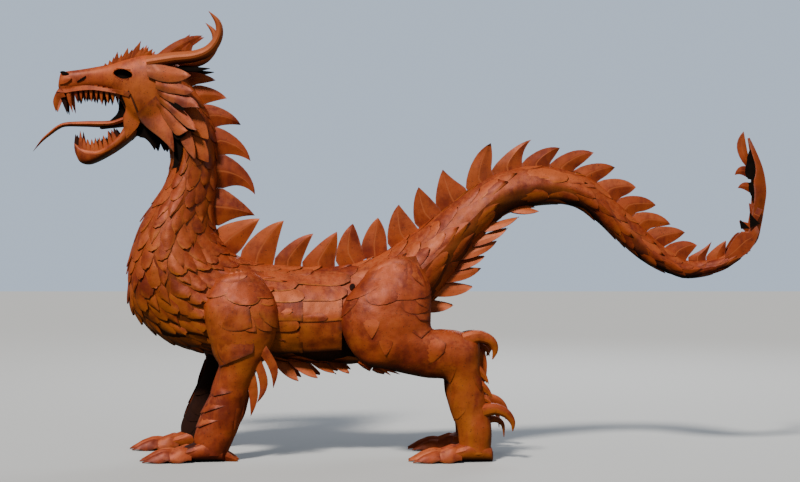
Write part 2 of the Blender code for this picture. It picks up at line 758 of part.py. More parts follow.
def leg(name, sections, top, side, stride, foot_span, extras, skin_cutter, material):
    centre = side * TRACK / 2
    shifted = []
    for x, z, x_back, z_back, beside, half in sections:
        ahead = stride * min(max((STRIDE_TOP - z) / STRIDE_SPAN, 0), 1)
        shifted.append((x - ahead, z, x_back - ahead, z_back, beside * side, half))
    crown = at(top[0], top[1]) + Vector((0, centre + top[2] * GRID * side, 0))
    made = loft(name, shifted, 8, material, offset=centre, first_point=crown)
    heel_x, toe_x = foot_span
    weld(made, [foot(heel_x - stride, toe_x - stride, centre, material)])
    merge_seams(weld(made, extras(centre, side, stride)))
    floor = mesh_object("floor_cutter", *stitch([
        [Vector((x, y, z)) for x, y in ((-9, -9), (9, -9), (9, 9), (-9, 9))] for z in (-1, 0)
    ]), material)
    apply_boolean(made, floor, "DIFFERENCE")
    apply_boolean(made, skin_cutter, "DIFFERENCE", keep_tool=True)
    keep_largest(made)
    return made


def front_leg(side, stride, skin_cutter, material):
    # Elbow blades: root x, z, second root x, z, tip x, z; and a spur on the heel
    blades = ((-138, 116, -129, 104, -123.5, 72), (-141, 99, -137, 86, -137, 58),
              (-145, 84, -146, 68, -145, 44), (-150, 64, -153, 46, -157, 31))

    def extras(centre, side, stride):
        made = []
        for k, (x, z, x_next, z_next, tip_x, tip_z) in enumerate(blades):
            y = centre + (3.3 - 2.4 * k) * side * GRID
            points = [at(a - stride, b) + Vector((0, y, 0))
                      for a, b in ((x_next, z_next), (x, z), (tip_x, tip_z))]
            made.append(leaf("elbow_blade", *points, material, 0.1, 0.2, 2.0 * GRID, 8 * GRID))
        spur = [at(x - stride, z) + Vector((0, centre, 0)) for x, z in ((-178, 12), (-165, 13), (-153.5, 2.5))]
        made.append(horn("spur", spur, (6 * GRID, 5 * GRID, 0), 6, material))
        return made

    name = "front_leg_left" if side < 0 else "front_leg_right"
    return leg(name, FRONT_LEG_SECTIONS, FRONT_LEG_TOP, side, stride, (-171, -252.5), extras,
               skin_cutter, material)


def hind_leg(side, skin_cutter, material):
    # Hooks at the hock and ankle in pairs, a ragged row down the shank, and tufts on the thigh
    hooks = (
        (((62, 118), (76, 122), (88, 117), (92, 108), (89.5, 99)), 6.0, -5),
        (((66, 112), (77, 112), (85, 107), (87, 101)), 4.2, 6),
        (((80, 50), (92, 52), (103, 47), (109, 38), (109, 29.5)), 5.4, -5),
        (((80, 38), (92, 40), (100, 35), (101.5, 22.5)), 4.4, 6),
    )
    tufts = ((74, 97, 77, 84, 86, 75), (78, 80, 79, 69, 89.5, 62), (80, 66, 82, 58, 89, 56),
             (-38, 100, -26, 92, -9, 83.5), (-26, 92, -14, 88, 0, 84.5))

    def lowered(z):
        return z - (HOCK_DROP * max(1 - abs(z - HOCK) / 70, 0) if side > 0 else 0)

    def extras(centre, side, stride):
        made = []
        for path, radius, beside in hooks:
            y = centre + beside * side * -GRID
            points = [at(x, lowered(z)) + Vector((0, y, 0)) for x, z in path]
            radii = [radius * GRID * (1 - k / (len(path) - 1)) ** 0.7 for k in range(len(path))]
            made.append(horn("hook", points, radii, 4, material, flat=0.8, per_span=1))
        for x, z, x_next, z_next, tip_x, tip_z in tufts:
            points = [at(a, b) + Vector((0, centre, 0))
                      for a, b in ((x, z), (x_next, z_next), (tip_x, tip_z))]
            made.append(leaf("tuft", *points, material, 0.12, 0.0, 1.5 * GRID, 7 * GRID,
                             stations=(0.0,)))
        return made

    name = "hind_leg_left" if side < 0 else "hind_leg_right"
    sections = [(x, lowered(z), x_back, lowered(z_back), beside, half)
                for x, z, x_back, z_back, beside, half in HIND_LEG_SECTIONS]
    return leg(name, sections, HIND_LEG_TOP, side, 0, (89, 7.5), extras, skin_cutter, material)


def rusted_steel(name, color, roughness):
    material = bpy.data.materials.new(name)
    material.use_nodes = True
    shader = material.node_tree.nodes["Principled BSDF"]
    shader.inputs["Base Color"].default_value = (*color, 1)
    shader.inputs["Roughness"].default_value = roughness
    shader.inputs["Metallic"].default_value = 0.35
    return material


def main():
    for old in list(bpy.data.objects):
        bpy.data.objects.remove(old)
    skin_steel = rusted_steel("rusted_skin", (0.40, 0.13, 0.04), 0.55)
    blade_steel = rusted_steel("rusted_blade", (0.36, 0.10, 0.04), 0.5)
    head_steel = rusted_steel("rusted_head", (0.42, 0.13, 0.045), 0.55)

    skin = Skin()
    body = skin.build("body_shell", skin_steel)
    cutter = skin.build("skin_cutter", skin_steel, grow=WELD_GAP)

    made = [body, head(cutter, head_steel)]
    jaw = lower_jaw(head_steel)
    skull_cutter = loft("skull_cutter", CRANIUM_SECTIONS, 12, head_steel, power=0.85, grow=WELD_GAP)
    apply_boolean(jaw, skull_cutter, "DIFFERENCE", keep_tool=True)
    made.append(jaw)
    made.append(tongue(head_steel))
    top_pieces = horns(blade_steel) + ear_plumes(blade_steel)
    for piece in top_pieces:
        apply_boolean(piece, skull_cutter, "DIFFERENCE", keep_tool=True)
        apply_boolean(piece, cutter, "DIFFERENCE", keep_tool=True)
    made += top_pieces
    bpy.data.objects.remove(skull_cutter)

    made += crest(cutter, blade_steel)
    made += underside_row("belly_blade", BELLY_BLADES, cutter, blade_steel)
    made += underside_row("tail_blade", TAIL_BLADES, cutter, blade_steel)
    made.append(tail_end(cutter, blade_steel))
    for side in (-1, 1):
        made.append(front_leg(side, STRIDE / GRID if side > 0 else 0, cutter, skin_steel))
        made.append(hind_leg(side, cutter, skin_steel))
    bpy.data.objects.remove(cutter)
    for piece in made:
        shade(piece)


main()
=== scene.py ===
# Looks for the steel dragon: every sheet is cut from a plain grid, bent into place and given its
# thickness, then the sheets of one piece are joined and rusted.
import json
import math
import random

import bmesh
import bpy
import numpy as np
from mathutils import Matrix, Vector
from mathutils.bvhtree import BVHTree

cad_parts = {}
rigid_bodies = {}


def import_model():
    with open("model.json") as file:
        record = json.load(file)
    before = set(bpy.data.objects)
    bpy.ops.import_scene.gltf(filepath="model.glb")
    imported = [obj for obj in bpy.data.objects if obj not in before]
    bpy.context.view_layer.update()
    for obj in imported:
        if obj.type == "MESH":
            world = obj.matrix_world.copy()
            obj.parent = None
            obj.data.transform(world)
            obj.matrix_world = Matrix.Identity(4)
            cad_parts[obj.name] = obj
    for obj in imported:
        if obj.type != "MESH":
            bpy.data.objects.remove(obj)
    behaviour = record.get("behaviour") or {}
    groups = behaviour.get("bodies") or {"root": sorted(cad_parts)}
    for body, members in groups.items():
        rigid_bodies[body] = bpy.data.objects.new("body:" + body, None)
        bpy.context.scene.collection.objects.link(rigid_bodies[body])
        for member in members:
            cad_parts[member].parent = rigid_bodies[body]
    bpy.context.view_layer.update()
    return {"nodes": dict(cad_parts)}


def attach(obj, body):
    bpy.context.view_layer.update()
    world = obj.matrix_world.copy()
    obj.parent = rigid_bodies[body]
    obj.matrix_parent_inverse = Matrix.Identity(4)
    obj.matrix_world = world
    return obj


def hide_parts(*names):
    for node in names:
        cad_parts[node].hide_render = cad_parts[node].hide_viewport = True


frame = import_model()
nodes = frame["nodes"]
random.seed(7)
square = 0.007  # the tables count in squares of 7 mm, from the ground below the sculpture's middle
track = 0.574  # from the left legs' middle to the right ones'
camera = {"away": 10, "height": 217.5, "lens": 64.29, "sensor": 36, "shift": -4 / 800}  # height in squares
metal = {"gauge": 0.0035, "scaleGauge": 0.003, "bladeGauge": 0.004,  # thickness of the sheets
         "scaleDip": 0.9,  # how far a scale's sides bend down, as a share of its lift
         "smoothBelow": 24}  # degrees between faces that shade as one
print("frame loaded")


# Placing

def metres(x, z, y=0.0):
    return np.array((x, y, z)) * square


def smoothTable(rows, steps):
    # Catmull-Rom through the rows of a table, steps between each pair
    rows = np.array(rows, float)
    padded = np.vstack((rows[:1], rows, rows[-1:]))
    t = np.linspace(0, 1, steps, endpoint=False)[:, None]
    spans = []
    for i in range(len(rows) - 1):
        a, b, c, d = padded[i:i + 4]
        spans.append(0.5 * (2 * b + (c - a) * t + (2 * a - 5 * b + 4 * c - d) * t ** 2
                            + (3 * b - a - 3 * c + d) * t ** 3))
    return np.vstack(spans + [rows[-1:]])


def tubeSurface(sections, beside=0.0, power=1.0, peak=0.0):
    # The skin of a tube: share along it, turn round it (0 on top, pi/2 on the +Y side), lift;
    # peak draws its flanks in towards the top
    rows = smoothTable(sections, 16) * square
    top = np.stack((rows[:, 0], 0 * rows[:, 0], rows[:, 1]), 1)
    low = np.stack((rows[:, 2], 0 * rows[:, 0], rows[:, 3]), 1)
    middle = (top + low) / 2
    middle[:, 1] = beside + (rows[:, 4] if rows.shape[1] == 6 else 0)
    steps = np.linalg.norm(np.diff(middle, axis=0), axis=1)
    share = np.concatenate(((0,), np.cumsum(steps)))
    length = share[-1]
    share = share / length
    half = (top - low) / 2
    half[:, 1] = 0
    wide = rows[:, -1]

    def place(along, turn, lift=0.0):
        along, turn, lift = np.broadcast_arrays(along, turn, lift)
        pick = [np.interp(along, share, column) for column in
                (*middle.T, half[:, 0], half[:, 2], wide)]
        centre = np.stack(pick[:3], -1)
        up = np.stack((pick[3], 0 * along, pick[4]), -1)
        tall = np.linalg.norm(up, axis=-1, keepdims=True)
        up = up / tall
        c = np.sign(np.cos(turn)) * np.abs(np.cos(turn)) ** power
        s = np.sign(np.sin(turn)) * np.abs(np.sin(turn)) ** power * (1 - peak * np.maximum(c, 0))
        out = up * (c * tall[..., 0])[..., None]
        out[..., 1] += s * pick[5]
        away = up * (np.cos(turn) / tall[..., 0])[..., None]
        away[..., 1] += np.sin(turn) / pick[5]
        away /= np.linalg.norm(away, axis=-1, keepdims=True)
        return centre + out + away * lift[..., None]

    place.length = length
    return place


# Sheets: a grid is added by hand, given its thickness, and every sheet is a bent copy of it

def selectOnly(*pieces):
    bpy.ops.object.select_all(action="DESELECT")
    for piece in pieces:
        piece.select_set(True)
    bpy.context.view_layer.objects.active = pieces[0]


def applyModifiers(piece):
    selectOnly(piece)
    for modifier in list(piece.modifiers):
        bpy.ops.object.modifier_apply(modifier=modifier.name)


def makePattern(columns, rows):
    # A flat sheet 1 long and 2 wide, closed all round; a runs along it, b across, c through it
    bpy.ops.mesh.primitive_grid_add(x_subdivisions=columns, y_subdivisions=rows, size=2)
    pattern = bpy.context.active_object
    pattern.name = f"pattern{columns}x{rows}"
    gauge = pattern.modifiers.new("gauge", "SOLIDIFY")
    gauge.thickness = 1
    gauge.offset = 1
    applyModifiers(pattern)
    co = readPoints(pattern.data)
    pattern.hide_render = True
    return pattern.data, (co[:, 0] + 1) / 2, co[:, 1], co[:, 2], pattern


patterns = {}


def sheetMesh(name, bend, columns, rows, tone=None, grime=0.0):
    # bend(a, b, c) gives the place of every point of the pattern
    if (columns, rows) not in patterns:
        patterns[columns, rows] = makePattern(columns, rows)
    data, a, b, c = patterns[columns, rows][:4]
    mesh = data.copy()
    mesh.name = name
    mesh.vertices.foreach_set("co", bend(a, b, c).astype(float).ravel())
    tone = random.random() if tone is None else tone
    setTone(mesh, tone, grime(a, b) if callable(grime) else grime)
    return mesh


def setTone(mesh, tone, grime=0.0):
    # Each sheet's own tone of rust, and how far it is painted black as shade
    for label, value in (("tone", tone), ("grime", grime)):
        layer = mesh.attributes.get(label) or mesh.attributes.new(label, "FLOAT", "POINT")
        layer.data.foreach_set("value", np.zeros(len(mesh.vertices)) + value)


def readPoints(mesh, kind="co"):
    values = np.empty(len(mesh.vertices) * 3)
    mesh.vertices.foreach_get(kind, values)
    return values.reshape(-1, 3)


def setLow(mesh):
    # How far each point faces down, 0 to 1: rain leaves ochre there; the undersides are also painted darker
    # as shade and the tops paler as painted light
    layer = mesh.attributes.new("low", "FLOAT", "POINT")
    layer.data.foreach_set("value", 0.5 - 0.5 * readPoints(mesh, "normal")[:, 2])


def asObject(mesh):
    piece = bpy.data.objects.new(mesh.name, mesh)
    bpy.context.scene.collection.objects.link(piece)
    return piece


def joinAs(name, meshes, finish, slot, *stands):
    # One piece of many sheets, with its normals out; it stands for the CAD nodes that are named last
    pieces = [asObject(mesh) for mesh in meshes]
    selectOnly(*pieces)
    if len(pieces) > 1:
        bpy.ops.object.join()
    piece = bpy.context.active_object
    piece.name = name
    piece.data.name = name
    bpy.ops.object.mode_set(mode="EDIT")
    bpy.ops.mesh.select_all(action="SELECT")
    bpy.ops.mesh.remove_doubles(threshold=0.00004)
    bpy.ops.mesh.normals_make_consistent(inside=False)
    bpy.ops.object.mode_set(mode="OBJECT")
    bpy.ops.object.shade_smooth_by_angle(angle=math.radians(metal["smoothBelow"]))
    setLow(piece.data)
    piece.data.materials.clear()
    piece.data.materials.append(finish)
    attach(piece, "root")
    if stands:
        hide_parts(*stands)


def tubeMesh(name, place, rings, sides, tone=0.5):
    # A grid rolled up along a tube's skin and closed at both ends
    bpy.ops.mesh.primitive_grid_add(x_subdivisions=rings, y_subdivisions=sides, size=2)
    piece = bpy.context.active_object
    piece.name = name
    co = readPoints(piece.data)
    piece.data.vertices.foreach_set("co", place((co[:, 0] + 1) / 2, np.pi * co[:, 1]).ravel())
    bpy.ops.object.mode_set(mode="EDIT")
    bpy.ops.mesh.select_all(action="SELECT")
    bpy.ops.mesh.remove_doubles(threshold=0.0001)
    bpy.ops.mesh.select_all(action="DESELECT")
    bpy.ops.mesh.select_non_manifold()
    bpy.ops.mesh.edge_face_add()
    bpy.ops.mesh.select_all(action="SELECT")
    bpy.ops.mesh.normals_make_consistent(inside=False)
    bpy.ops.object.mode_set(mode="OBJECT")
    mesh = piece.data
    mesh.name = name
    bpy.data.objects.remove(piece)
    for loop in mesh.uv_layers[0].data:
        loop.uv = (0.4, 0.5)  # the middle of a sheet: no worn edge on the skin below; it reads as a fold all over, so blade rust paints its fold highlight over the whole of it
    setTone(mesh, tone)
    return mesh


def tongueOutline(a):
    # How far along a scale a point lies, and its half width there: parallel sides and a round end
    round_ = np.clip((a - 0.34) / 0.66, 0, 1) * math.pi / 2
    return np.where(a < 0.34, a * 1.62, 0.55 + 0.45 * np.sin(round_)), np.where(
        a < 0.34, 0.9 + 0.3 * a, np.cos(round_))


def pointedOutline(a):
    # The same with a point
    return a, np.where(a < 0.4, 0.9 + 0.25 * a, 1.0 - np.clip((a - 0.4) / 0.6, 0, 1) ** 1.8)


def skinFrame(place, along, turn):
    # A spot on a tube's skin, its two directions there, and metres for a whole length and a radian
    step, turnStep = 0.002, 0.02
    spots = place(along + np.array((0, step, -step, 0, 0)), turn + np.array((0, 0, 0, turnStep, -turnStep)))
    ahead, round_ = (spots[1] - spots[2]) / (2 * step), (spots[3] - spots[4]) / (2 * turnStep)
    long, wide = np.linalg.norm(ahead), np.linalg.norm(round_)
    return spots[0], ahead / long, round_ / wide, long, wide


def scaleMesh(place, along, turn, length, width, lift, outline=tongueOutline, roll=0.0,
              columns=6, rows=4, grime=0.0):
    # A sheet that lies on a tube's skin: its sides dip towards it and its free end stands off
    long, wide = skinFrame(place, along, turn)[3:]
    span, fan = length / long, width / 2 / wide
    root = -0.003 - 0.25 * lift

    def bend(a, b, c):
        reach, half = outline(a)
        turned = turn + b * half * fan + roll * (reach - 0.3) * fan
        rise = root + (lift - root) * reach ** 1.2
        rise = rise - metal["scaleDip"] * lift * b * b * (1 - 0.5 * reach) + metal["scaleGauge"] * c
        return place(np.clip(along + span * (reach - 0.25), 0, 1), turned, rise)

    return sheetMesh("scale", bend, columns, rows, None, grime)


def packScales(place, table, skip, closeness=0.5, start=0.0, end=1.0):
    # Spots for scales over a tube, close to each other but never on each other; the table gives
    # share along, width and length of a scale, lift of its end
    table = np.array(table)
    found, centres, faces = [], np.full((1, 3), 99.0), np.zeros((1, 3))
    along = start
    while along < end:
        width, length, lift = (np.interp(along, table[:, 0], table[:, k]) for k in (1, 2, 3))
        pitch, beside = length * closeness, width * 0.72  # the least distance, along and across
        turn = random.uniform(0, 1)
        full = turn + 2 * math.pi
        while turn < full:
            spot, ahead, round_, long, wide = skinFrame(place, along, turn)
            away, facing = centres - spot, np.cross(ahead, round_)
            near = ((away @ ahead) / pitch) ** 2 + ((away @ round_) / beside) ** 2 < 1
            near &= (faces @ facing > 0.3) & (np.linalg.norm(away, axis=1) < 2 * length)
            if not near.any():
                centres, faces = np.vstack((centres, spot)), np.vstack((faces, facing))
                if not skip(spot):
                    found.append((along, turn, length, width, lift))
            turn += beside / 3 / wide
        along += pitch / 4 / place.length
    return found


def edgeCurve(points, share):
    # Points of a smooth rim at shares of its length
    rows = smoothTable(points, 8)
    steps = np.linalg.norm(np.diff(rows, axis=0), axis=1)
    along = np.concatenate(((0,), np.cumsum(steps))) / steps.sum()
    return np.stack([np.interp(share, along, rows[:, k]) for k in range(2)], -1)


def cutSheet(cover, side, upper, lower, outs=(0, 0), lifts=(0.002, 0.012), fold=0.0, tilt=0.0,
             rise=1.2, gauge=metal["gauge"], columns=12, rows=6, grime=0.0):
    # A sheet drawn from the side between two rims and laid over what is below it. What stands out
    # from the middle plane looks larger to the camera, so it is drawn that much smaller
    middle = np.array((0, camera["height"]))

    def bend(a, b, c):
        share = (b + 1) / 2
        flat = (edgeCurve(upper, a) * (1 - share[:, None]) + edgeCurve(lower, a) * share[:, None])
        least = (outs[0] + (outs[1] - outs[0]) * a) * square
        out = np.maximum(cover(flat, side), least)
        flat = middle + (flat - middle) * (1 - out / camera["away"])[:, None]
        out = np.maximum(cover(flat, side), least) + lifts[0] + (lifts[1] - lifts[0]) * a ** rise
        out = out + fold * (1 - np.abs(b)) * (1 - 0.6 * a) + tilt * share + gauge * c
        return np.stack((flat[:, 0] * square, out * side, flat[:, 1] * square), -1)

    return sheetMesh("cut_sheet", bend, columns, rows, None, grime)


def noCover(flat, side):
    # For a sheet that lies on nothing: its own least distance holds
    return np.full(len(flat), -1.0)


def skinFrom(*meshes):
    # Distance of the skin from the middle plane at points of the side view
    trees = []
    for mesh in meshes:
        body = bmesh.new()
        body.from_mesh(mesh)
        trees.append(BVHTree.FromBMesh(body))
        body.free()

    def skin(flat, side):
        found = []
        for x, z in flat * square:
            outs = [hit[0].y * side for hit in
                    (tree.ray_cast(Vector((x, 3 * side, z)), Vector((0, -side, 0))) for tree in trees)
                    if hit[0] is not None]
            found.append(max(outs, default=-1.0))
        return np.array(found)

    return skin


def bladeMesh(first, second, tip, lead, trail, rib, sink, curl=0.0, tone=None):
    # A folded blade from the root line first-second to its tip: thin rims and a raised fold; lead
    # and trail bulge its two edges, and sink is how far it goes on below its root
    first, second, tip = (np.array(p, float) for p in (first, second, tip))
    across = (second - first) / np.linalg.norm(second - first)
    middle = (first + second) / 2
    normal = np.cross(across, tip - middle)
    normal /= np.linalg.norm(normal)
    down = np.cross(across, normal)
    down /= np.linalg.norm(down)
    if down @ (tip - middle) > 0:
        down = -down
    below = 0.12  # share of the rows that lie below the root

    def edge(start, other, bulge, along, t):
        # From the root to the tip, with its bulge away from the other edge
        t = t[:, None]
        outward = np.cross(tip - start, normal)
        outward *= -np.sign(outward @ (other - start)) / np.linalg.norm(outward)
        swell = start + (tip - start) * along + outward * np.linalg.norm(tip - start) * bulge * 1.6
        return start * (1 - t) ** 2 + swell * 2 * t * (1 - t) + tip * t * t

    def bend(a, b, c):
        t = np.clip((a - below) / (1 - below), 0, 1)
        sunk = np.clip((below - a) / below, 0, 1)[:, None]
        share = (b[:, None] + 1) / 2
        flat = (edge(first, second, lead, 0.62, t) * (1 - share)
                + edge(second, first, trail, 0.5, t) * share + down * sink * sunk)
        fold = rib * (1 - t) ** 0.8 * (1 - np.abs(b)) + metal["bladeGauge"] / 2
        wave = curl * t ** 2 * b
        return flat + normal * ((c * 2 - 1) * fold + wave)[:, None]

    return sheetMesh("blade", bend, 9, 8, tone)


def hornMesh(path, radii, flat, rings, sides, keel=1.0):
    # A tapering bar along a smooth path; flat narrows it sideways, keel sharpens its back
    rows = smoothTable([tuple(p) + (r,) for p, r in zip(path, radii)], 8)
    steps = np.linalg.norm(np.diff(rows[:, :3], axis=0), axis=1)
    share = np.concatenate(((0,), np.cumsum(steps)))
    share /= share[-1]

    def place(along, turn, lift=0.0):
        centre = np.stack([np.interp(along, share, rows[:, k]) for k in range(3)], -1)
        ahead = np.stack([np.interp(along + 0.02, share, rows[:, k])
                          - np.interp(along - 0.02, share, rows[:, k]) for k in range(3)], -1)
        ahead /= np.linalg.norm(ahead, axis=-1, keepdims=True)
        side = np.array((0, 1.0, 0)) - ahead * ahead[:, 1:2]
        side /= np.linalg.norm(side, axis=-1, keepdims=True)
        up = np.cross(side, ahead)
        radius = np.maximum(np.interp(along, share, rows[:, 3]), 0.0008)[:, None] + lift  # blunt tip
        s = np.sign(np.sin(turn)) * np.abs(np.sin(turn)) ** keel
        return centre + (side * (s * flat)[:, None] + up * np.cos(turn)[:, None]) * radius

    return tubeMesh("horn", place, rings, sides, random.random())


# Finishes

finishes = {
    # what every rusted sheet has, unless its own finish below says otherwise
    "rust": {"Dark": (0.18, 0.022, 0.008, 1), "Orange": (0.36, 0.056, 0.010, 1),
             "Ochre": (0.43, 0.12, 0.010, 1), "Bare": (0.42, 0.098, 0.026, 1),
             "Rim": (0.05, 0.012, 0.008, 1), "Ochre Share": 0.7, "Bare Share": 0.6,
             "Crease Share": 0.0, "Patch Scale": 5.0},
    "skin rust": {"dents": 0.03},
    # blade rust paints a highlight along the folds, and over the whole of a tube such as a horn
    "blade rust": {"dents": 0.012, "Ochre Share": 0.25, "Bare Share": 0.7, "Crease Share": 0.8,
                   "Rim": (0.3, 0.11, 0.08, 1)},
    "head rust": {"dents": 0.012, "Orange": (0.47, 0.08, 0.017, 1), "Ochre Share": 0.5,
                  "Bare Share": 0.75, "Patch Scale": 6.0},
    # the last two are painted shade: the darkening of the undersides and the near black of the painted shade
    # mask
    "speck": (0.07, 0.02, 0.012, 1), "shade": (0.014, 0.004, 0.002, 1), "grime": (0.004, 0.0015, 0.001, 1),
    "rustGloss": 0.24, "bump": 0.6, "leastRough": 0.28, "metallic": 0.15,
    # painted shade: the near-black finish for the hollows and gaps
    "soot": ((0.002, 0.0015, 0.001, 1), (0.012, 0.006, 0.004, 1)), "hollowShadeRough": 0.95, "hollowShadeGloss": 0.1,
}


def makeRustGroup():
    # Rust in patches, runs and specks, with painted light on the tops, painted shade below and a painted
    # highlight along the folds: colour, roughness, metal and height for a sheet's own tone
    group = bpy.data.node_groups.new("rust", "ShaderNodeTree")
    face = group.interface
    for label, value in finishes["rust"].items():
        kind = "NodeSocketColor" if isinstance(value, tuple) else "NodeSocketFloat"
        face.new_socket(label, in_out="INPUT", socket_type=kind).default_value = value
    face.new_socket("Color", in_out="OUTPUT", socket_type="NodeSocketColor")
    for label in ("Roughness", "Metallic", "Height"):
        face.new_socket(label, in_out="OUTPUT", socket_type="NodeSocketFloat")
    link = group.links.new
    given, out, place = (group.nodes.new(kind) for kind in
                         ("NodeGroupInput", "NodeGroupOutput", "ShaderNodeTexCoord"))

    def attribute(name):
        made = group.nodes.new("ShaderNodeAttribute")
        made.attribute_name = name
        return made.outputs["Fac"]

    def noise(scale, detail, rough, vector, distortion=0.0):
        made = group.nodes.new("ShaderNodeTexNoise")
        for label, value in (("Scale", scale), ("Detail", detail), ("Roughness", rough),
                             ("Distortion", distortion)):
            setInput(made.inputs[label], value)
        link(vector, made.inputs["Vector"])
        return made.outputs["Fac"]

    def setInput(socket, value):
        if isinstance(value, (int, float, tuple)):
            socket.default_value = value
        else:
            link(value, socket)

    def maths(kind, a, b):
        made = group.nodes.new("ShaderNodeMath")
        made.operation = kind
        setInput(made.inputs[0], a)
        setInput(made.inputs[1], b)
        return made.outputs[0]

    def times(a, b):
        return maths("MULTIPLY", a, b)

    def plus(a, b):
        return maths("ADD", a, b)

    def rampTo(value, start, end):
        made = group.nodes.new("ShaderNodeMapRange")
        made.interpolation_type = "SMOOTHSTEP"
        link(value, made.inputs["Value"])
        made.inputs["From Min"].default_value = start
        made.inputs["From Max"].default_value = end
        return made.outputs["Result"]

    def mix(factor, a, b):
        made = group.nodes.new("ShaderNodeMix")
        made.data_type = "RGBA"
        for socket, value in ((made.inputs["Factor"], factor), (made.inputs[6], a), (made.inputs[7], b)):
            setInput(socket, value)
        return made.outputs[2]

    tone, low, grime = attribute("tone"), attribute("low"), attribute("grime")
    here = place.outputs["Object"]

    # Each sheet reads the noise at its own place
    shift = group.nodes.new("ShaderNodeVectorMath")
    shift.operation = "SCALE"
    shift.inputs[0].default_value = (3.1, 5.7, 2.3)
    link(tone, shift.inputs["Scale"])
    own = group.nodes.new("ShaderNodeVectorMath")
    own.operation = "ADD"
    link(here, own.inputs[0])
    link(shift.outputs[0], own.inputs[1])
    ownPlace = own.outputs[0]
    upright = group.nodes.new("ShaderNodeMapping")  # rain runs down, so its noise is drawn out in Z
    upright.inputs["Scale"].default_value = (3.2, 3.2, 0.55)
    link(ownPlace, upright.inputs["Vector"])

    patch = noise(given.outputs["Patch Scale"], 5, 0.62, ownPlace)
    runs = noise(5.0, 4, 0.55, upright.outputs["Vector"], 0.4)
    broad = noise(1.1, 2, 0.5, here)
    fine = noise(34, 5, 0.6, ownPlace)
    specks = noise(120, 2, 0.5, here)
    dents = noise(8.0, 1.5, 0.45, ownPlace)

    base = mix(rampTo(patch, 0.36, 0.62), given.outputs["Dark"], given.outputs["Orange"])
    base = mix(times(rampTo(runs, 0.42, 0.66), 0.55), base, given.outputs["Orange"])
    # ochre below, where the wet stays
    ochre = times(rampTo(plus(times(broad, 0.6), times(patch, 0.4)), 0.4, 0.6), given.outputs["Ochre Share"])
    ochre = times(ochre, rampTo(plus(low, times(runs, 0.5)), 0.58, 0.86))
    base = mix(ochre, base, given.outputs["Ochre"])
    # bare, paler steel in random patches, put on the top faces as painted light
    bare = rampTo(plus(times(tone, 0.35), times(fine, 0.75)), 0.45, 0.72)
    bare = times(times(bare, given.outputs["Bare Share"]), rampTo(low, 0.62, 0.25))
    base = mix(bare, base, given.outputs["Bare"])
    shade = group.nodes.new("ShaderNodeMapRange")
    link(tone, shade.inputs["Value"])
    shade.inputs["To Min"].default_value = 0.88
    shade.inputs["To Max"].default_value = 1.1
    bright = group.nodes.new("ShaderNodeHueSaturation")
    link(shade.outputs["Result"], bright.inputs["Value"])
    link(base, bright.inputs["Color"])
    base = mix(rampTo(specks, 0.64, 0.72), bright.outputs["Color"], finishes["speck"])

    # Rims of the sheets are burnt where they were cut, and a painted highlight runs along the folds of the
    # blades
    uv = group.nodes.new("ShaderNodeSeparateXYZ")
    link(place.outputs["UV"], uv.inputs[0])
    side = maths("ABSOLUTE", maths("SUBTRACT", uv.outputs["Y"], 0.5), 0.0)
    rim = maths("MAXIMUM", times(side, 2.0), uv.outputs["X"])
    burnt = times(rampTo(rim, 0.86, 1.0), rampTo(fine, 0.3, 0.6))
    base = mix(times(burnt, 0.6), base, given.outputs["Rim"])
    foldHighlight = times(rampTo(side, 0.035, 0.012), rampTo(uv.outputs["X"], 0.95, 0.6))
    base = mix(times(foldHighlight, given.outputs["Crease Share"]), base, given.outputs["Bare"])
    # painted shade: faces that look down turn dark, and the painted shade mask turns near black
    base = mix(times(rampTo(low, 0.76, 0.94), 0.88), base, finishes["shade"])
    base = mix(times(grime, 0.99), base, finishes["grime"])

    link(base, out.inputs["Color"])
    rough = plus(plus(times(fine, 0.3), times(patch, 0.16)), finishes["leastRough"])
    link(maths("MAXIMUM", rough, grime), out.inputs["Roughness"])
    link(times(maths("SUBTRACT", 1.0, grime), finishes["metallic"]), out.inputs["Metallic"])
    link(plus(plus(dents, times(fine, 0.05)), times(specks, 0.03)), out.inputs["Height"])
    return group


def newFinish(name, gloss):
    finish = bpy.data.materials.new(name)
    finish.use_nodes = True
    shader = finish.node_tree.nodes["Principled BSDF"]
    shader.inputs["Specular IOR Level"].default_value = gloss
    return finish, finish.node_tree.nodes, finish.node_tree.links.new, shader.inputs


def rustFinish(name):
    finish, made, link, shader = newFinish(name, finishes["rustGloss"])
    rust, bump = made.new("ShaderNodeGroup"), made.new("ShaderNodeBump")
    rust.node_tree = rustGroup
    for label, value in finishes[name].items():
        if label != "dents":
            rust.inputs[label].default_value = value
    bump.inputs["Strength"].default_value = finishes["bump"]
    bump.inputs["Distance"].default_value = finishes[name]["dents"]
    link(rust.outputs["Height"], bump.inputs["Height"])
    link(rust.outputs["Color"], shader["Base Color"])
    link(rust.outputs["Roughness"], shader["Roughness"])
    link(rust.outputs["Metallic"], shader["Metallic"])
    link(bump.outputs["Normal"], shader["Normal"])
    return finish


def makeHollowShade():
    # Painted shade: near black for the inside of the head and the gaps that no light reaches
    finish, made, link, shader = newFinish("soot", finishes["hollowShadeGloss"])
    place, speck, ramp = (made.new(kind) for kind in
                          ("ShaderNodeTexCoord", "ShaderNodeTexNoise", "ShaderNodeValToRGB"))
    speck.inputs["Scale"].default_value = 30
    for element, colour in zip(ramp.color_ramp.elements, finishes["soot"]):
        element.color = colour
    link(place.outputs["Object"], speck.inputs["Vector"])
    link(speck.outputs["Fac"], ramp.inputs["Fac"])
    link(ramp.outputs["Color"], shader["Base Color"])
    shader["Roughness"].default_value = finishes["hollowShadeRough"]
    return finish


rustGroup = makeRustGroup()
skinRust, bladeRust, headRust = (rustFinish(name) for name in ("skin rust", "blade rust", "head rust"))
soot = makeHollowShade()
print("finishes made")


# Body

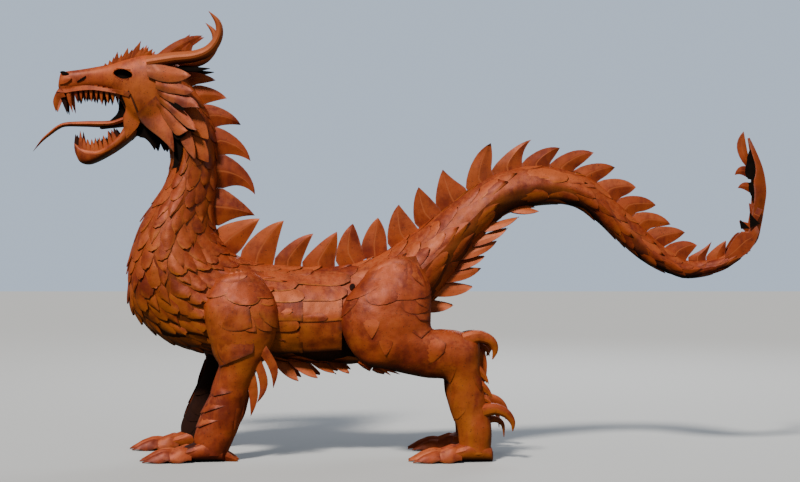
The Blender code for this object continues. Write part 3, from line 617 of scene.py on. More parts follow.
body = {
    "sections": (
        (-216, 381, -243, 333, 17), (-188, 332, -229, 302, 19), (-183, 282, -234, 272, 23),
        (-186, 238, -257, 234, 32), (-182, 218, -267, 204, 37), (-168, 202, -271, 174, 41),
        (-148, 193, -263, 140, 42), (-126, 189, -215, 107, 42), (-80, 187, -110, 93, 40),
        (-30, 195, -28, 97, 38), (18, 225, 32, 152, 32), (60, 258, 68, 198, 24),
        (100, 282, 102, 238, 19), (145, 288, 147, 250, 17), (190, 276, 178, 246, 15.5),
        (221, 248, 206, 225, 14), (251, 219, 240, 195, 12), (276, 199, 269, 181, 10.5),
        (290, 194, 290, 176, 9), (320, 197, 324, 185, 7.5), (341, 211, 350, 204, 5.5)),
    # share along the body, width and length of a scale, lift of its end
    "scales": ((0.0, 0.085, 0.20, 0.009), (0.13, 0.10, 0.23, 0.011), (0.2, 0.11, 0.22, 0.015),
               (0.32, 0.12, 0.23, 0.017), (0.39, 0.13, 0.27, 0.011), (0.5, 0.14, 0.28, 0.009),
               (0.6, 0.13, 0.27, 0.008), (0.75, 0.105, 0.24, 0.007), (1.0, 0.05, 0.14, 0.004)),
    # sheets on the flanks, drawn from the side: upper rim, lower rim, lift of the end and the lower rim
    "plates": (
        (((-136, 186.5), (-100, 183.5), (-65, 183.5), (-50, 179.5)),
         ((-136, 174.5), (-100, 170.5), (-65, 168.5), (-50, 173.5)), 0.01, 0.004),
        (((-97, 173.5), (-75, 171.5), (-62, 169.5), (-53, 165.5)),
         ((-97, 153.5), (-75, 153.5), (-62, 154.5), (-53, 160.5)), 0.01, 0.006),
        (((-134, 165.5), (-115, 166), (-102, 165), (-96, 161), (-95, 158.5)),
         ((-134, 152.5), (-115, 152), (-102, 153), (-96, 156), (-95, 158.3)), 0.012, 0.004),
        (((-138, 176.5), (-120, 177.5), (-108, 175.5), (-102, 171.5)),
         ((-138, 164.5), (-120, 163.5), (-108, 165), (-102, 170.5)), 0.01, 0.004),
        (((-134, 152.5), (-97, 153)),
         ((-134, 133.5), (-97, 133.5)), 0.008, 0.005),
        (((-100, 155), (-78, 154.5), (-58, 156.5)),
         ((-100, 132.5), (-78, 132.5), (-58, 134.5)), 0.01, 0.006),
        (((-138, 123.5), (-97, 124.5)),
         ((-138, 100.5), (-97, 102)), 0.008, 0.022),
        (((-100, 135), (-58, 136)),
         ((-100, 102), (-58, 105)), 0.009, 0.024),
        (((-132, 136), (-114, 137), (-104, 134.5), (-100, 129.5)),
         ((-132, 123), (-114, 122.5), (-104, 124), (-100, 129)), 0.013, 0.006),
        (((-104, 142), (-84, 142), (-75, 140), (-72, 137)),
         ((-104, 133), (-84, 133), (-75, 134), (-72, 136.7)), 0.014, 0.004),
        (((-116, 121), (-100, 121.5), (-92, 118.5), (-89, 114.5)),
         ((-116, 110), (-100, 109.5), (-92, 111), (-89, 114.1)), 0.014, 0.004),
        (((-130, 112), (-117, 112.5), (-109, 109.5), (-107, 106.5)),
         ((-130, 101.5), (-117, 100.5), (-109, 103), (-107, 106.1)), 0.014, 0.006)),
    # a small hole in the saddle, drawn as a sheet painted black as the shade inside it
    "hole": (((-50.5, 166.5), (-50, 169.5), (-47.5, 171.2), (-45.5, 170.5)),
             ((-50.3, 166), (-48.5, 165), (-46, 167), (-45.3, 170.3))),
    # no scales below the plates and in the crook before the hind legs, this far out: x from and to,
    # z from and to
    "noScales": ((-128, -54, 98, 184), (-58, -24, 0, 136)), "flank": 14,
    "hollow": (-60, -20, 138),  # the crook's shade: x from and to, top
    "closeness": 0.42,
    "thinning": (0.52, 0.35),  # from this share along the body, this share of the scales is left out
}
bodySkin = tubeSurface(body["sections"], peak=0.28)


def insideTest(*names):
    # True where a point lies inside one of the CAD nodes
    trees = []
    for name in names:
        mesh = bmesh.new()
        mesh.from_mesh(nodes[name].data)
        bmesh.ops.remove_doubles(mesh, verts=mesh.verts, dist=0.00001)
        trees.append(BVHTree.FromBMesh(mesh))
        mesh.free()

    up = Vector((0.03, 0.02, 1)).normalized()

    def inside(point, depth):
        for tree in trees:
            if tree.find_nearest(Vector(point))[3] < depth:
                continue
            start, walls = Vector(point), 0
            while walls < 60:
                hit = tree.ray_cast(start, up)[0]
                if hit is None:
                    break
                start, walls = hit + up * 0.0001, walls + 1
            if walls % 2:
                return True
        return False

    return inside


def makeBody():
    inLeg = insideTest("front_leg_left", "front_leg_right", "hind_leg_left", "hind_leg_right")
    inHead = insideTest("head_shell")
    base = tubeMesh("skin", bodySkin, 160, 40, 0.5)
    co, low = readPoints(base) / square, 0.5 - 0.5 * readPoints(base, "normal")[:, 2]
    rear, front, top = body["hollow"]
    hollow = (co[:, 0] > rear) & (co[:, 0] < front) & (co[:, 2] < top)
    # painted shade: the crook is black and the skin darker the more it faces down
    setTone(base, 0.5, np.where(hollow, 0.95, np.clip((low - 0.3) * 1.6, 0.1, 0.85)))
    cover = skinFrom(base)
    sheets = [base]

    def skip(spot):
        x, y, z = spot / square
        bare = abs(y) > body["flank"] and any(
            left < x < right and low < z < high for left, right, low, high in body["noScales"])
        return bare or inLeg(spot, 0.03) or inHead(spot, 0.05)

    spots = packScales(bodySkin, body["scales"], skip, body["closeness"])
    thinFrom, leftOut = body["thinning"]
    for along, turn, length, width, lift in spots:
        if along > thinFrom and random.random() < leftOut:
            continue
        outline = random.choice((tongueOutline, tongueOutline, pointedOutline))
        sheets.append(scaleMesh(bodySkin, along, turn, length * random.uniform(0.85, 1.35),
                                width * random.uniform(0.8, 1.2), lift * random.uniform(0.35, 1.5),
                                outline, random.uniform(-0.5, 0.5), columns=5))
    print("body scales", len(spots))
    for side in (-1, 1):
        for upper, lower, lift, tilt in body["plates"]:
            sheets.append(cutSheet(cover, side, upper, lower, lifts=(0.003, lift), tilt=tilt))
        # the hole's sheet is painted black as shade
        sheets.append(cutSheet(cover, side, *body["hole"], lifts=(0.013, 0.013), grime=0.97))
    joinAs("body_skin", sheets, skinRust, "skin_steel", "body_shell")


makeBody()
print("body made")


# Blades along the back, the belly and the tail

blades = {
    # first notch x, z, tip x, z, bulge of the leading and the trailing edge
    "crest": (
        (-212, 383, -184, 374, 0.10, 0.02), (-204, 370, -173, 356, 0.12, -0.02),
        (-193, 351, -159, 329.5, 0.14, -0.06), (-182, 328, -149.5, 293.5, 0.16, -0.10),
        (-174, 300, -145, 260, 0.17, -0.22), (-176, 266, -145, 239, 0.05, -0.10),
        (-180, 228.5, -140, 236, 0.06, 0.02), (-158, 205.5, -116, 234, 0.12, -0.02),
        (-125, 197.5, -86.5, 221, 0.12, -0.02), (-98, 193.5, -63, 223, 0.06, 0.06),
        (-65, 194.5, -47, 231, 0.14, 0.04), (-39, 209.5, -22, 237, 0.10, 0.10),
        (-13, 211.5, -1.3, 250, 0.12, 0.00), (14, 231.5, 18.6, 267.5, 0.10, 0.02),
        (35, 251.5, 42.7, 285, 0.06, -0.04), (65, 267.5, 91, 311.5, 0.16, 0.06),
        (91, 285, 131.5, 315, 0.10, -0.12), (122, 292.5, 160, 306.6, 0.16, 0.02),
        (150, 291.5, 193.8, 302, 0.18, 0.04), (174, 285, 215, 287, 0.16, 0.06),
        (198, 273.5, 236, 267.4, 0.18, 0.10), (221, 257.5, 255.8, 249.3, 0.18, 0.10),
        (237, 242.5, 270.5, 230, 0.18, 0.02), (251, 226.5, 285, 222, 0.14, 0.06),
        (266, 209, 297, 209.5, 0.18, 0.02), (288, 198, 311.6, 213, -0.06, 0.02),
        (306, 198.5, 326, 214, 0.06, 0.02), (325, 199.5)),
    "rib": 0.085,  # height of the fold, as a share of a blade's width
    "gap": 0.0012, "curl": 0.012,  # metres between two blades, and how far a tip bends at most
    "sinks": (0.1, 0.05),  # depth below the skin, and at the two ends of the crest
    # root x, z and tip x, z
    "belly": ((-117, 93, -100, 75.5), (-101, 93, -81, 78.5), (-82, 94, -63, 82.5), (-66, 95, -50, 83.5)),
    "tail": ((30, 149, 53, 149.5), (43, 166, 72.5, 168), (53.5, 180, 80.5, 186.5),
             (62, 191, 84.5, 198.5), (72, 203, 96, 213.5), (84, 216, 107, 226.5),
             (95, 229, 118, 237.5), (120, 245, 138, 243)),
    # the underside's widest blade, a blade's width for its length, the length from which they stand
    # at their full distance out, and how far in metres a root is turned
    "underWidth": 17, "underSlim": 0.62, "underFull": 26, "underTurn": 0.012,
    "underShape": (0.14, 0.05, 0.006, 0.04),  # bulge of the edges, rib, depth below the skin
    # distance of the underside's blades from the middle plane at root and tip, and how far the
    # roots go in
    "underOut": {"belly": (13, 20, 3), "tail": (13, 11, 6)},
}


def makeCrest():
    rows = blades["crest"]
    for i, (x, z, tipX, tipZ, lead, trail) in enumerate(rows[:-1]):
        first, second = metres(x, z), metres(*rows[i + 1][:2])
        width = np.linalg.norm(second - first)
        gap = (second - first) / width * blades["gap"]
        deep, shallow = blades["sinks"]
        mesh = bladeMesh(first + gap, second - gap, metres(tipX, tipZ), lead, trail,
                         blades["rib"] * width, deep if 0 < i < len(rows) - 3 else shallow,
                         random.uniform(-blades["curl"], blades["curl"]))
        name = f"crest_blade_{i + 1:02d}"
        joinAs(f"back_{name}", [mesh], bladeRust, "blade_steel", name)


def makeUnderside():
    for label in ("belly", "tail"):
        rows = blades[label]
        for k, (x, z, tipX, tipZ) in enumerate(rows):
            before, after = rows[max(k - 1, 0)], rows[min(k + 1, len(rows) - 1)]
            half = metres(after[0] - before[0], after[1] - before[1])
            out, outTip, inward = blades["underOut"][label]
            length = math.hypot(tipX - x, tipZ - z)
            width = min(blades["underWidth"], blades["underSlim"] * length)
            half *= width / 2 * square / np.linalg.norm(half)
            out *= min(length / blades["underFull"], 1) ** 2
            inward /= length
            sheets = []
            for side in (-1, 1):
                half[1] = -side * blades["underTurn"]
                root = metres(x - inward * (tipX - x), z - inward * (tipZ - z), out * side)
                # a tone of 0.9 paints these blades paler and pinker, as painted light
                sheets.append(bladeMesh(root - half, root + half, metres(tipX, tipZ, outTip * side),
                                        *blades["underShape"], random.uniform(-0.01, 0.01), 0.9))
            name = f"{label}_blade_{k + 1}"
            joinAs("under_" + name, sheets, bladeRust, "blade_steel", name)


makeCrest()
makeUnderside()
print("blades made")


# Tail end: a folded leaf with thorns on its rims

tailEnd = {
    # outer fold x, z, depth towards the crest's side, half width
    "fold": ((347, 200, 6, 5), (351, 206, 9, 5.5), (358, 215, 12, 5.5), (361.5, 230, 12, 5.5),
             (364.5, 247, 12, 6), (366.5, 262, 13, 6.5), (365.5, 274, 13, 6.5),
             (363.8, 283, 9.5, 6.2), (361, 292, 7, 5.5), (355.5, 305, 5, 4), (349.5, 317, 1.5, 1.5)),
    # side, lower root x, z, upper root x, z, tip x, z, bulge of the lower and the upper edge
    "thorns": ((-1, 344, 214, 352, 222, 340, 223, 0.1, 0.04), (1, 347, 222, 352, 231, 340, 234, 0.1, 0),
               (-1, 350, 234, 356, 247, 348, 251.5, 0.02, 0.02),
               (1, 350.5, 262, 350.5, 272, 338.5, 266.5, -0.1, 0.26),
               (1, 349.5, 276, 350, 288, 335.5, 279.5, -0.18, 0.34),
               (1, 347, 288, 350, 295, 344.5, 323.5, 0.28, 0)),
    "thornOut": 4.5,
    # the hollow inside, painted black as shade: rims and distance from the middle plane, then the sheet at
    # its root
    "hollows": (
        (((349.5, 304.5), (347.2, 298), (346.5, 291), (345.2, 286), (345.2, 280), (348, 275.5)),
         ((350.5, 305), (355, 299), (359, 291), (361, 283), (361, 277), (358, 273)), 0.5),
        (((348.8, 272), (348.6, 265), (350.5, 260), (353, 255), (354, 250.5)),
         ((352, 272.5), (358, 266), (360, 260), (360, 255), (359, 250.5)), 0.5),
        (((349.6, 241.5), (349.7, 234), (350, 226.5)), ((350, 241.7), (355, 235.5), (360, 231)), 7),
        (((340, 234.5), (340, 230), (341, 225.5)), ((340.4, 234.6), (346, 230), (350, 226)), 5)),
    "root": (((325, 200), (332, 213), (340, 222), (349, 222), (356.5, 229)),
             ((325, 194), (335, 194.5), (346, 200.5), (353, 208.5), (359.5, 223)), (5.5, 6.2)),
}


def makeTailEnd():
    rows = smoothTable(tailEnd["fold"], 6) * square
    ahead = np.gradient(rows[:, :2], axis=0)
    ahead /= np.linalg.norm(ahead, axis=1, keepdims=True)
    share = np.linspace(0, 1, len(rows))

    def bend(a, b, c):
        x, z, depth, half = (np.interp(a, share, rows[:, k]) for k in range(4))
        dx, dz = (np.interp(a, share, ahead[:, k]) for k in range(2))
        open_ = np.abs(b) ** 0.8
        depth = depth * open_
        wide = half * np.sin(np.clip(np.abs(b) * 1.5, 0, 1.57)) * np.sign(b)
        inward = 0.004 * c
        return np.stack((x - dz * (depth + inward), wide - np.sign(b) * inward * 0.5,
                         z + dx * (depth + inward)), -1)

    sheets = [sheetMesh("leaf", bend, 24, 8, 0.45)]
    for side, x, z, xNext, zNext, tipX, tipZ, below, above in tailEnd["thorns"]:
        y = tailEnd["thornOut"] * side
        sheets.append(bladeMesh(metres(x, z, y), metres(xNext, zNext, y), metres(tipX, tipZ, y * 0.8),
                                below, above, 0.006, 0.04))
    for side in (-1, 1):
        sheets.append(cutSheet(noCover, side, *tailEnd["root"], (0, 0), 0.004))
    dark = [cutSheet(noCover, -1, *rims, (out, out), (0, 0)) for *rims, out in tailEnd["hollows"]]
    joinAs("tail_leaf", sheets, bladeRust, "blade_steel", "tail_end")
    joinAs("tail_hollows", dark, soot, "blade_steel")


makeTailEnd()
print("tail end made")


# Legs

frontLeg = {
    "sections": (
        (-186, 168, -130, 170, -8, 13), (-191, 151, -119, 149, -3, 17), (-188, 127, -121, 122, -1, 17),
        (-181, 107, -130, 102, 0, 15), (-175.5, 90, -140, 86, 0, 13), (-180, 71, -147.5, 68, 0, 12),
        (-189, 53, -152.5, 51, 0, 12), (-196, 36, -157, 32, 0, 12), (-200, 22, -163, 18, 0, 13),
        (-197, 7, -168, 6, 0, 12)),
    "crown": ((-162, 183.5, -152, 185, -8, 3), (-171, 180.5, -143, 183, -8, 7),
              (-179, 176, -136, 178.5, -8, 10.5)),
    # share down the leg, width and length of a plate, lift of its end
    "scales": ((0.0, 0.17, 0.26, 0.008), (0.45, 0.2, 0.34, 0.008), (0.6, 0.17, 0.3, 0.005),
               (1.0, 0.14, 0.2, 0.004)),
    # sheets drawn from the side: upper rim, lower rim, lift of the end and the lower rim
    "sheets": (
        (((-187, 136.5), (-189, 122.5), (-189, 109.5), (-186, 98.5), (-179, 88.5)),
         ((-148, 136.5), (-146, 124.5), (-146, 112.5), (-146, 106.5), (-147.5, 101.5)), 0.014, -0.006),
        (((-181, 88.5), (-185, 77.5), (-188, 68.5), (-190, 58.5)),
         ((-150, 92.5), (-155, 80.5), (-158, 71.5), (-160, 63.5)), 0.016, -0.024),
        (((-188, 64.5), (-193, 54.5), (-199.5, 42)),
         ((-158, 66.5), (-164, 58.5), (-168, 50.5)), 0.018, -0.026),
        (((-195, 47.5), (-200, 38.5), (-204, 27.5)),
         ((-166, 53.5), (-172, 44.5), (-176, 36)), 0.018, -0.026),
        (((-163, 66.5), (-163, 56.5), (-164, 46.5), (-165.5, 36.5), (-166.5, 23.5)),
         ((-152.5, 63.5), (-151.5, 55.5), (-153.5, 46.5), (-158, 34.5), (-166, 23)), 0.014, 0.0),
        (((-186, 162.5), (-176, 157.5), (-163, 151.5), (-151, 148.5)),
         ((-184, 132.5), (-174, 124.5), (-160, 123.5), (-148, 127.5)), 0.0045, 0.004),
        (((-162, 169.5), (-152, 164.5), (-148, 154.5), (-150, 147.5)),
         ((-174, 154.5), (-166, 144.5), (-157, 142.5), (-150.5, 147.5)), 0.0054, 0.002),
        (((-168, 186.5), (-160, 184.5), (-153, 179.5)),
         ((-174, 174.5), (-164, 172.5), (-153, 178.5)), 0.0045, 0),
        (((-145, 172.5), (-134, 164.5), (-128, 156.5), (-126, 150.5)),
         ((-150, 154.5), (-140, 150.5), (-132, 148.5), (-126.5, 150)), 0.0054, 0.002),
        (((-148, 154.5), (-138, 146.5), (-130, 134.5), (-127.5, 123.5)),
         ((-156, 142.5), (-148, 132.5), (-140, 124.5), (-128, 123)), 0.0054, 0.003),
        (((-164, 154.5), (-154, 146.5), (-146, 134.5), (-144, 123.5)),
         ((-172, 142.5), (-164, 132.5), (-154, 123.5), (-144.5, 123)), 0.0054, 0.003)),
    # ragged blades behind the elbow: rims, distance out at root and tip
    "elbows": (
        (((-146, 120.5), (-137, 113.5), (-129, 101.5), (-123, 90.5), (-122, 80.5), (-126.5, 66.5)),
         ((-153, 112.5), (-144, 104.5), (-135, 93.5), (-130, 83.5), (-127.5, 74.5), (-126.8, 66.5)), 49, 47),
        (((-148, 108.5), (-140, 96.5), (-134, 82.5), (-132, 70.5), (-136, 59.5), (-142.5, 52)),
         ((-155, 100.5), (-147, 90.5), (-142, 78.5), (-140, 66.5), (-141, 58.5), (-142.8, 52)), 47, 45),
        (((-152, 94.5), (-146, 84.5), (-142.5, 70.5), (-142, 57.5), (-145, 46.5), (-149, 38.5)),
         ((-158, 88.5), (-154, 76.5), (-151.5, 64.5), (-150, 52.5), (-149.4, 44.5), (-149.2, 38.5)), 45, 43),
        (((-157, 82.5), (-154, 70.5), (-154.5, 56.5), (-156.5, 42.5), (-160, 30.5), (-163.5, 21.5)),
         ((-163, 78.5), (-160, 66.5), (-160, 54.5), (-161, 42.5), (-162.5, 31.5), (-164, 21.5)), 43, 41)),
    "spur": ((-182, 14), (-173, 1.5), (-156.5, 0.8)),
    "foot": (-171, -252.5),
}
hindLeg = {
    "sections": (
        (-37, 176, 17, 193, -8, 10), (-55, 152, 29, 171, -4, 18), (-55, 122, 30, 145, -1, 21),
        (-36, 95, 31, 129, 0, 20), (-5, 87, 43, 128, 0, 18), (24, 81, 58, 126, 0, 17),
        (44, 79, 76, 117, 0, 16), (48, 69, 78, 90, 0, 14), (48, 55, 82.5, 64, 0, 13),
        (52, 42, 86, 47, 0, 13), (56, 30, 89, 30, 0, 13.5), (58, 8, 88, 8, 0, 13)),
    "crown": ((-12, 196, -3, 199, -9, 3), (-22, 192, 5, 198.5, -9, 5.5), (-31, 185, 12, 197, -8.5, 8)),
    "scales": ((0.0, 0.2, 0.3, 0.005), (0.3, 0.24, 0.38, 0.005), (0.6, 0.2, 0.32, 0.005),
               (0.8, 0.17, 0.28, 0.005), (1.0, 0.14, 0.2, 0.004)),
    "sheets": (
        (((-2, 196.5), (5, 186.5), (15, 175)),
         ((16, 198.5), (21, 184.5), (24, 167.5)), 0.0054, 0),
        (((0, 170.5), (10, 160.5), (18.5, 150.5)),
         ((20, 172.5), (25, 159.5), (28, 146)), 0.0054, 0),
        (((2, 152.5), (11, 143.5), (20, 134.5)),
         ((24, 152.5), (28.5, 142.5), (31, 133)), 0.0054, 0),
        (((-2, 132.5), (10, 123.5), (21.5, 116.5)),
         ((24, 142.5), (29, 133.5), (31.5, 125.5)), 0.0054, 0),
        (((-42, 162.5), (-40, 144.5), (-36, 128.5), (-29, 116.5)),
         ((-20, 164.5), (-19, 146.5), (-21, 128.5), (-28, 116)), 0.00495, 0),
        (((-24, 136.5), (-23, 120.5), (-20, 108.5), (-15, 99.5)),
         ((-4, 138.5), (-5, 122.5), (-8, 108.5), (-14, 99)), 0.00495, 0),
        (((36, 112.5), (38, 98.5), (41, 86.5), (49, 71.5)),
         ((58, 114.5), (58, 98.5), (56, 84.5), (50, 71)), 0.0054, 0),
        (((2, 124.5), (18, 120.5), (32, 118.5), (46, 111.5)),
         ((-4, 98.5), (12, 92.5), (30, 90.5), (44, 102.5)), 0.0045, 0),
        (((46, 70.5), (47, 56.5), (50, 44.5), (54, 33.5)),
         ((66, 72.5), (68, 58.5), (66, 44.5), (55, 33)), 0.0054, 0),
        (((66, 102.5), (70, 88.5), (74, 74.5), (80, 64.5)),
         ((84, 106.5), (87, 92.5), (86, 76.5), (80.5, 64)), 0.0054, 0)),
    "hooks": (
        (((62, 117), (76, 121), (88, 116.5), (92, 108), (89.5, 99)), 8.0, -5),
        (((66, 112), (77, 112), (85, 107), (87, 101)), 4.2, 6),
        (((80, 49), (92, 51), (103, 46.5), (109, 38), (109, 29.5)), 7.2, -5),
        (((80, 38), (92, 40), (100, 35), (101.5, 22.5)), 4.4, 6)),
    "tufts": ((74, 97, 77, 84, 86, 75), (78, 80, 79, 69, 89.5, 62), (80, 66, 82, 58, 89, 56),
              (-38, 100, -26, 92, -9, 83.5), (-26, 92, -14, 88, 0, 84.5)),
    "hockDrop": 6,
    "foot": (89, 7.5),
}


def toeMesh(root, tip, spread, width, height, beside, knuckle=0.42):
    # An arched sheet from the foot to its claw, with its rims near the ground
    lowest, thickness = 0.25, 0.55

    def bend(a, b, c):
        reach = 1 - (1 - a) ** 1.15
        half = width * np.interp(reach, (0, 0.35, 0.62, 0.85, 1), (0.8, 1.0, 0.82, 0.42, 0.06))
        top = height * np.interp(reach, (0, knuckle * 0.5, knuckle, 0.7, 0.88, 1),
                                 (0.82, 0.95, 1.0, 0.66, 0.3, 0.08))
        arch = (1 - np.abs(b) ** 1.5) ** 0.8
        ripple = np.abs(b) ** 4 * (1 - reach ** 3) * (1.2 + 1.4 * np.sin(9 * reach + 3 * width))
        y = beside / square + spread * (1 + 0.42 * reach) + half * b
        z = 0.3 + (top - 0.3) * arch + c * thickness + ripple
        return np.stack((root + (tip - root) * reach, y, np.maximum(z, lowest)), -1) * square

    return sheetMesh("toe", bend, 12, 8)


def footSheets(heel, toe, beside):
    # Instep, and four arched toes of sheet that end in claws
    length = heel - toe
    instep = tubeSurface((
        (heel + 1, 10, heel + 1, 0.3, 0, 6), (heel, 13, heel - 1, 0.3, 0, 9),
        (heel - 0.18 * length, 22, heel - 0.18 * length, 0.2, 0, 13),
        (heel - 0.42 * length, 15, heel - 0.42 * length, 0.2, 0, 14.5),
        (heel - 0.58 * length, 9.5, heel - 0.58 * length, 0.2, 0, 13),
        (heel - 0.64 * length, 6, heel - 0.64 * length, 0.3, 0, 11)), beside, 0.9)
    sheets = [tubeMesh("instep", instep, 24, 24)]
    for place in (-1.5, -0.5, 0.5, 1.5):
        # one sheet over the knuckles and one down to the claw; the outer toes are shorter
        tip, spread = toe + 2.2 * place ** 2, 6.8 * place
        sheets += [
            toeMesh(heel - 0.36 * length, tip + 0.2 * length, spread, 6.6, 14.5, beside, 0.3),
            toeMesh(heel - 0.52 * length, tip, spread * 1.08, 6.2, 12.5 - abs(place), beside)]
    for turn in (-0.9, -0.3, 0.3, 0.9):
        sheets.append(scaleMesh(instep, 0.42, turn, 0.22, 0.13, 0.006))
    return sheets


def limbSheets(limb, side, ahead=0.0):
    # The limb's skin, how its points move for the leg that stands ahead or lower, and the painted
    # shade on its inner side
    drop = limb.get("hockDrop", 0) if side > 0 else 0

    def moved(x, z):
        # The step grows from above the elbow to the shin, and the drop is greatest at the hock
        return x - ahead * min(max((150 - z) / 60, 0), 1), z - drop * max(1 - abs(z - 118) / 70, 0)

    rows = []
    for x, z, xBack, zBack, beside, half in (*limb["crown"], *limb["sections"]):
        step = x - moved(x, z)[0]
        rows.append((*moved(x, z), xBack - step, moved(xBack, zBack)[1], beside * side, half))
    skin = tubeSurface(rows, side * track / 2)
    mesh = tubeMesh("limb", skin, 90, 36, 0.5)
    inner = -readPoints(mesh, "normal")[:, 1] * side
    height = readPoints(mesh)[:, 2] / square
    # painted shade on the inner side below the body, less near the ground
    shadeDarkening = np.clip((inner - 0.05) * 1.8, 0, 0.96) * np.clip((165 - height) / 20, 0, 1)
    setTone(mesh, 0.5, shadeDarkening * np.clip((height - 20) / 8, 0.15, 1))
    return skin, mesh, moved


def makeLegs():
    inBody = insideTest("body_shell")
    shinTop = 1.05  # metres above the ground
    for name, limb, side, ahead in (
            ("front_leg_left", frontLeg, -1, 0), ("front_leg_right", frontLeg, 1, 25),
            ("hind_leg_left", hindLeg, -1, 0), ("hind_leg_right", hindLeg, 1, 0)):
        skin, base, moved = limbSheets(limb, side, ahead)
        beside = side * track / 2
        heel, toe = limb["foot"]
        cover, middle = skinFrom(base), beside * side / square - 3
        sheets = [base, *footSheets(heel - ahead, toe - ahead, beside)]

        def spot(x, z, y=0.0):
            return metres(*moved(x, z), y) + np.array((0, beside, 0))

        def shifted(rim):
            return [moved(x, z) for x, z in rim]

        for upper, lower, lift, tilt in limb["sheets"]:
            sheets.append(cutSheet(cover, side, shifted(upper), shifted(lower), (middle, middle),
                                   (-0.007, lift), 0.001, tilt, 2.2, 0.003))
        for upper, lower, out, outTip in limb.get("elbows", ()):
            sheets.append(cutSheet(noCover, side, shifted(upper), shifted(lower), (out, outTip),
                                   (0.0, 0.01), 0.006))
        for x, z, xNext, zNext, tipX, tipZ in limb.get("tufts", ()):
            for y in (-3, 3):
                sheets.append(bladeMesh(spot(x, z, y), spot(xNext, zNext, y),
                                        spot(tipX - 1.5 * (y * side < 0), tipZ, y * 1.5),
                                        0.12, 0.0, 0.008, 0.05))
        for path, radius, y in limb.get("hooks", ()):
            last = len(path) - 1
            radii = [radius * square * max(1 - k / last, 0.02) ** 0.7 for k in range(last + 1)]
            sheets.append(hornMesh([spot(x, z, -y * side) for x, z in path], radii, 0.7, 24, 12))
        if "spur" in limb:
            for y, tipY in ((-3, -5), (3, 5)):
                (x, z), (xNext, zNext), (tipX, tipZ) = limb["spur"]
                sheets.append(bladeMesh(spot(x, z, y), spot(xNext, zNext, y), spot(tipX, tipZ, tipY),
                                        0.12, 0.1, 0.012, 0.03))

        def skip(point):
            # Scales cover only what the drawn sheets leave free
            outside = abs(point[1]) > track / 2 + (0.03 if point[2] > shinTop else -0.04)
            return outside or point[2] < 0.16 or inBody(point, 0.02)

        for along, turn, length, width, lift in packScales(skin, limb["scales"], skip, 0.5, 0.04, 0.93):
            # scales on the inner side below the shin's top are painted black as shade
            scaleShade = 0.96 if skin(along, turn)[2] < shinTop else 0.0
            sheets.append(scaleMesh(skin, along, turn, length * random.uniform(0.85, 1.2), width * 1.1,
                                    lift * random.uniform(0.5, 1.5), tongueOutline,
                                    random.uniform(-0.5, 0.5), columns=8, rows=6, grime=scaleShade))
        joinAs(name + "_skin", sheets, skinRust, "skin_steel", name)


makeLegs()
print("legs made")


# Head

